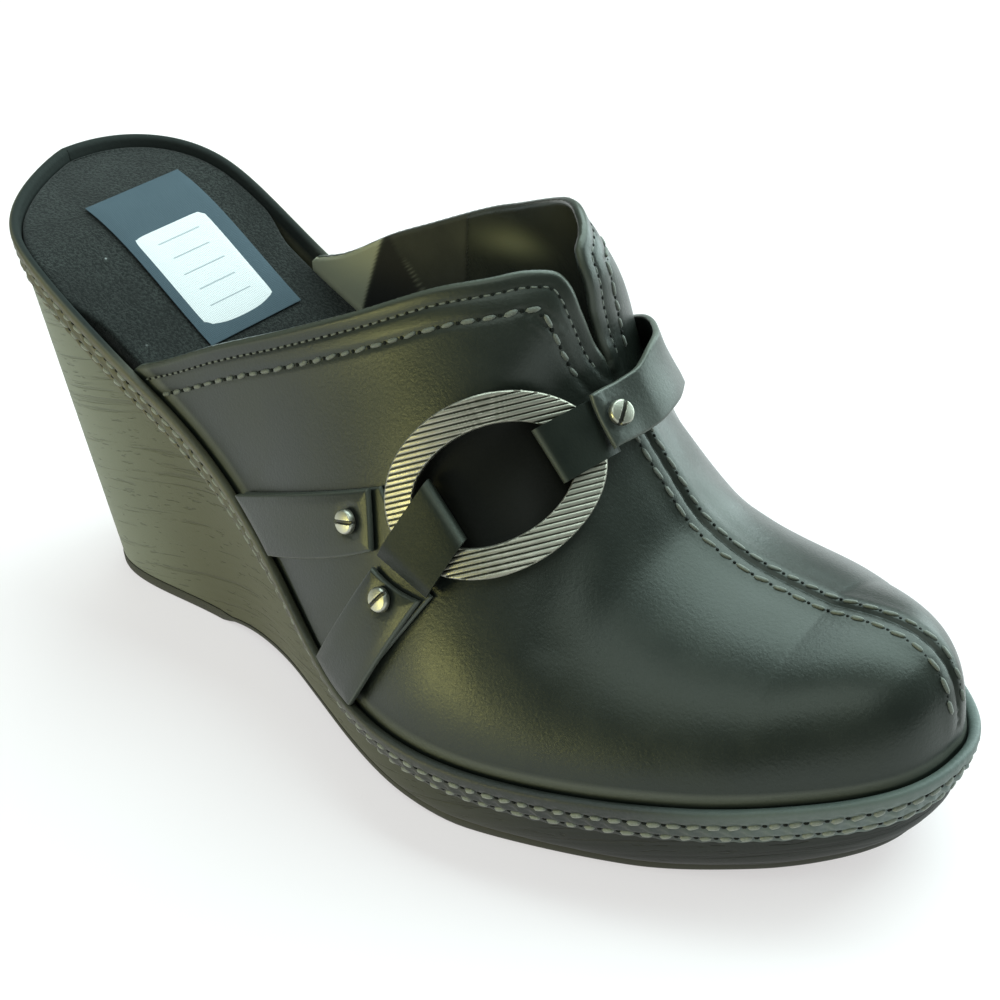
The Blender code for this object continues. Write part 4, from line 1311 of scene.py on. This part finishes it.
def studPlace(look):
    axis = skinNormal(look["foot"], look["c"])
    base = skin(look["foot"], look["c"]) + axis * look["lift"]
    side = np.cross(axis, [0, 0, 1.0])
    side /= np.linalg.norm(side)
    return base, axis, side, np.cross(side, axis)


def spread(count, power=1.6):
    # Even in the middle, close together at both ends
    t = np.linspace(-1, 1, count)
    return .5 + .5 * np.sign(t) * (1 - (1 - np.abs(t)) ** power)


def makeStrap(node, look):
    rows, cols = look["size"]
    u, v = np.meshgrid(spread(rows), spread(cols), indexing="ij")
    table = look["along"]
    x0, x1 = (softened(table, look[key], 0, 1, .02)(u) for key in ("xBack", "xFront"))
    c0, c1 = np.interp(u, table, look["cBack"]), np.interp(u, table, look["cFront"])
    low = np.array(look["low"])
    l0, l1 = (softened(low[:, 0], low[:, k], 0, 1, .022)(u) for k in (1, 2))
    x, c, lift = x0 + (x1 - x0) * v, c0 + (c1 - c0) * v, l0 + (l1 - l0) * v
    p = onSkin(x, c, lift)
    # Distances to the strap's own edges, measured over its middle face
    across = np.linalg.norm(np.diff(p, axis=1), axis=2)
    runV = np.concatenate([np.zeros((rows, 1)), np.cumsum(across, 1)], 1)
    down = np.linalg.norm(np.diff(p, axis=0), axis=2)
    runU = np.concatenate([np.zeros((1, cols)), np.cumsum(down, 0)], 0)
    fromSides = np.minimum(runV, runV[:, -1:] - runV)
    fromEnds = np.minimum(runU, runU[-1:] - runU)
    edge = np.minimum(fromSides, fromEnds)
    r = strapEdge["round"]
    drop = r - np.sqrt(np.clip(r * r - np.clip(r - edge, 0, r) ** 2, 0, None))
    pillow = strapEdge["pillow"] * bump(edge, strapEdge["pillowWidth"])
    dent = np.zeros_like(drop)
    for one in studs.values():
        base = studPlace(one)[0]
        near = np.linalg.norm(p - base, axis=-1)
        dent += studSize["dent"] * bump(np.maximum(near - studSize["radius"], 0), studSize["dentWidth"])
    top = lift + look["wall"] - drop * min(look["wall"], 1)
    if look["wall"] > 1.2:
        top = top - pillow - dent
    bottom = lift + drop * .4
    shapeTop, shapeBottom = onSkin(x, c, top), onSkin(x, c, bottom)
    points = np.concatenate([shapeTop.reshape(-1, 3), shapeBottom.reshape(-1, 3)])
    rawEdge = bump(edge, strapEdge["wearAndSheen"]).ravel()
    piece = makePiece(node + "Leather", points, sheetFaces(rows, cols), [look.get("leather", strapLeather)],
                      attributes={"edge": np.concatenate([rawEdge, rawEdge])})
    return wear(piece, node, node)


def ringPoint(x, y, h):
    x, y, h = np.broadcast_arrays(*[np.asarray(v, float) for v in (x, y, h)])
    bend = ringFrame["bend"]
    lift = h + bend[0] * x * x + bend[1] * y * y + bend[2] * x * y
    return np.array(ringFrame["centre"]) + x[..., None] * ringAlong + y[..., None] * ringAcross \
        + lift[..., None] * ringAway


def makeRing():
    # A band of the ellipse; parallel grooves are cut straight across its crowned face
    look = ringLook
    turn = np.linspace(0, 2 * math.pi, look["steps"], endpoint=False)
    inner = np.linspace(0, 1, 46)
    inset = np.concatenate([[.25, 0, 0, .12, .3], .3 + (look["band"] - .6) * inner[1:-1],
                            [look["band"] - .3, look["band"] - .12, look["band"], look["band"],
                             look["band"] - .25]])
    wall = look["wall"]
    height = np.concatenate([[0, .25, wall - .35, wall - .12, wall], np.full(44, wall),
                             [wall, wall - .12, wall - .35, .25, 0]])
    face = np.concatenate([[0, 0, 0, .3, 1], np.ones(44), [1, .3, 0, 0, 0]])
    a = look["halfLength"] - inset
    b = look["halfWidth"] - inset
    x = a[:, None] * np.cos(turn)
    y = b[:, None] * np.sin(turn)
    t = math.radians(look["grooveTurn"])
    s = (-x * math.sin(t) + y * math.cos(t)) / look["groovePitch"]
    part = np.abs(s - np.round(s)) * look["groovePitch"]
    cut = np.clip(1 - part / look["grooveHalf"], 0, 1)
    land = (part / look["groovePitch"]) ** 2
    h = height[:, None] + face[:, None] * (look["dish"] * land - look["grooveDepth"] * smoothStep(cut * 1.3))
    hollow = face[:, None] * smoothStep(cut * 1.5)
    piece = makePiece("ringGrooved", ringPoint(x, y, h),
                      gridFaces(len(inset), look["steps"], closeRows=True, closeCols=True), [ringSilver],
                      attributes={"hollow": hollow}, crisp=38)
    return wear(piece, "ring", "ring")


loopLook = {"wall": 1.2, "clear": .3, "wearAndSheen": .75, "foldSheenAt": .05, "foldSheenWidth": .045, "softEdge": .28}


def makeLoop(node, corners, profile):
    # Folded strip: a closed profile of (along, height) carried across in the ring's frame
    holeA, holeB, endA, endB = [np.array(p, float) for p in corners]
    s = np.array([p[0] for p in profile])
    h = np.array([p[1] for p in profile])
    cols = 9
    v = np.linspace(0, 1, cols)[:, None]
    x = (holeA[0] + (holeB[0] - holeA[0]) * v) * (1 - s) + (endA[0] + (endB[0] - endA[0]) * v) * s
    y = (holeA[1] + (holeB[1] - holeA[1]) * v) * (1 - s) + (endA[1] + (endB[1] - endA[1]) * v) * s
    points = ringPoint(x, y, np.repeat(h[None], cols, 0))
    rows = len(profile)
    # The fold is painted lighter: a painted highlight along it
    fold = loopLook["wearAndSheen"] * bump(s - loopLook["foldSheenAt"], loopLook["foldSheenWidth"]) * (h > .8)
    faces = [gridFaces(cols, rows, closeCols=True)]
    half = rows // 2
    for start in (0, (cols - 1) * rows):
        i = np.arange(half - 1)
        faces.append(np.stack([start + i, start + i + 1, start + rows - 2 - i, start + rows - 1 - i], -1))
    piece = makePiece(node + "Leather", points.reshape(-1, 3), np.concatenate(faces), [loopLeather],
                      attributes={"edge": np.tile(fold, cols)})
    bevel = piece.modifiers.new("softEdge", "BEVEL")
    bevel.width = loopLook["softEdge"] * .001
    bevel.segments = 3
    bevel.limit_method = "ANGLE"
    bevel.angle_limit = math.radians(35)
    smoother = piece.modifiers.new("smooth", "SUBSURF")
    smoother.levels = 2
    smoother.render_levels = 2
    return wear(piece, node, node)


# Loop profiles as (share of the way along, height over the ring's back)
over = ringLook["wall"] + loopLook["clear"]
top = over + loopLook["wall"]
lowerLoop = [(.085, -.3), (.085, 0), (.085, .3), (.085, .9), (.085, 1.6), (.09, over), (.40, over),
             (.68, over), (.80, over), (.85, 1.6), (.91, .75), (1, .35),
             (1, loopLook["wall"] + .35), (.96, 2.0), (.92, 2.7), (.86, top - .15), (.78, top),
             (.40, top), (.17, top), (.11, top - .12), (.06, top - .42), (.025, top - .95),
             (0, top - 1.7), (0, -.3)]
upperLoop = [(.09, -.9), (.09, -.5), (.09, -.2), (.09, .5), (.09, 1.4), (.10, over), (.38, over),
             (.60, over), (.80, over), (.875, 1.7), (.885, .9), (.89, .2),
             (1, .2), (.98, 1.7), (.93, 2.5), (.87, top - .35), (.78, top),
             (.40, top), (.18, top), (.12, top - .12), (.065, top - .42), (.028, top - .95),
             (0, top - 1.7), (0, -.9)]


def makeStud(node, look):
    # Disc in polar form: flat dome, rounded rim, slot sunk by distance from its line
    base, axis, side, rise = studPlace(look)
    size = studSize
    radii = np.concatenate([[0], np.linspace(.06, 1, 26) ** .8])
    steps = 72
    a = np.linspace(0, 2 * math.pi, steps, endpoint=False)
    r = radii[:, None] * size["radius"]
    x, y = r * np.cos(a), r * np.sin(a)
    nearRim = np.clip((radii[:, None] - 1) / size["rimWidth"] + 1, 0, 1)
    h = size["height"] - size["dome"] * radii[:, None] ** 2 - size["rimDrop"] * nearRim ** 2
    d = math.radians(look["slot"])
    off = np.abs(-x * math.sin(d) + y * math.cos(d))
    cut = smoothStep((size["slotHalf"] - off) / .12 + .5)
    h = h - size["slotDepth"] * cut + np.zeros_like(x)
    rimRow = np.stack([size["radius"] * np.cos(a), size["radius"] * np.sin(a), np.zeros(steps)], -1)
    centre = np.zeros((steps, 3))
    local = np.concatenate([np.stack([x, y, h], -1), rimRow[None], centre[None]], 0)
    points = base + local[..., :1] * side + local[..., 1:2] * rise + local[..., 2:] * axis
    hollow = np.concatenate([np.maximum(cut, 0) * .9, np.zeros((2, steps))], 0)
    piece = makePiece(node + "Head", points, gridFaces(len(local), steps, closeCols=True), [studSilver],
                      attributes={"hollow": hollow}, crisp=45)
    return wear(piece, node, node)


makeOutsole()
makeWedge()
makeBand()
makeInsole()
makeLabel()
print("sole, band and insole made")
makeUpper()
makeUpperStitches()
print("upper made")
for node, look in straps.items():
    makeStrap(node, look)
makeRing()
makeLoop("lower_loop", [(10.4, -6.0), (8.4, 7.2), (27.0, 3.0), (20.4, 14.2)], lowerLoop)
makeLoop("upper_loop", [(-10.8, -6.0), (-12.2, 5.3), (-23.7, -7.0), (-24.0, 4.2)], upperLoop)
for node, look in studs.items():
    makeStud(node, look)
print("straps, ring and studs made")


# Floor, lights and camera
cameraLook = {"azimuth": 45.94, "elevation": 30.95, "roll": 6.67, "distance": 371.04,
              "target": (125, 0, 45), "pan": -1.19, "tilt": -.75, "focal": 1721.52, "frame": 1000}


def turned(v, towards, degrees):
    # Turns v towards a unit vector square to it
    return v * math.cos(math.radians(degrees)) + towards * math.sin(math.radians(degrees))


def placeCamera():
    # Looks at the target from the azimuth and elevation, then pans, tilts and rolls
    look = cameraLook
    az, el = math.radians(look["azimuth"]), math.radians(look["elevation"])
    back = np.array([math.sin(az) * math.cos(el), -math.cos(az) * math.cos(el), math.sin(el)])
    forward = -back
    right = np.cross(forward, [0, 0, 1])
    right /= np.linalg.norm(right)
    up = np.cross(right, forward)
    where = np.array(look["target"], float) + back * look["distance"]
    forward, right = turned(forward, -right, look["pan"]), turned(right, forward, look["pan"])
    forward, up = turned(forward, up, look["tilt"]), turned(up, -forward, look["tilt"])
    right, up = turned(right, -up, look["roll"]), turned(up, right, look["roll"])
    data = bpy.data.cameras.new("camera")
    data.sensor_width = 36
    data.lens = 36 * look["focal"] / look["frame"]
    data.clip_start = .01
    camera = bpy.data.objects.new("camera", data)
    bpy.context.scene.collection.objects.link(camera)
    place = Matrix.Identity(4)
    for k, axis in enumerate((right, up, -forward)):
        for j in range(3):
            place[j][k] = float(axis[j])
    spot = (where - shift) * .001
    for j in range(3):
        place[j][3] = float(spot[j])
    camera.matrix_world = place
    bpy.context.scene.camera = camera


def areaLight(name, where, target, size, power, colour):
    data = bpy.data.lights.new(name, "AREA")
    data.shape = "RECTANGLE"
    data.size, data.size_y = size
    data.energy = power
    data.color = colour
    lamp = bpy.data.objects.new(name, data)
    bpy.context.scene.collection.objects.link(lamp)
    lamp.location = where
    aim = Vector(target) - Vector(where)
    lamp.rotation_euler = aim.to_track_quat("-Z", "Y").to_euler()


stageLook = {
    "floorHalf": 3.0,      # metres
    "floorColour": (.45, .44, .44),
    "floorGlow": (1, .97, .98),
    "floorGlowStrength": .55,
    "worldColour": (.87, 1.0, .94),
    "worldStrength": .30,
}
# Area lights: place, target and size in metres, power in watts, colour
lights = {
    "coolBack": ((0, .57, .93), (.03, 0, .04), (1.4, 1.05), 20.0, (.82, 1, 1)),
    "softTop": ((.08, -.54, .93), (.05, 0, .06), (1.1, .5), 3.3, (.90, 1, .96)),
    "backWall": ((.36, .86, .24), (.05, 0, .06), (1.1, .46), 7.5, (.82, 1, 1)),
    "warmSide": ((-.31, -.90, .08), (.03, -.03, .06), (.5, .15), 2.6, (1, .91, .34)),
}


def makeStage():
    look = stageLook
    size = look["floorHalf"]
    mesh = bpy.data.meshes.new("floor")
    corners = [(-size, -size, 0), (size, -size, 0), (size, size, 0), (-size, size, 0)]
    mesh.from_pydata(corners, [], [(0, 1, 2, 3)])
    floor = bpy.data.objects.new("floor", mesh)
    bpy.context.scene.collection.objects.link(floor)
    made, tree, shader, place = newMaterial("floorPaper", .9, specular=.1)
    shader.inputs["Base Color"].default_value = (*look["floorColour"], 1)
    shader.inputs["Emission Color"].default_value = (*look["floorGlow"], 1)
    shader.inputs["Emission Strength"].default_value = look["floorGlowStrength"]
    mesh.materials.append(made)
    world = bpy.data.worlds.new("studio")
    world.use_nodes = True
    background = world.node_tree.nodes["Background"].inputs
    background["Color"].default_value = (*look["worldColour"], 1)
    background["Strength"].default_value = look["worldStrength"]
    bpy.context.scene.world = world
    for name, values in lights.items():
        areaLight(name, *values)
    bpy.context.scene.view_settings.view_transform = "Standard"


placeCamera()
makeStage()
print("scene ready")
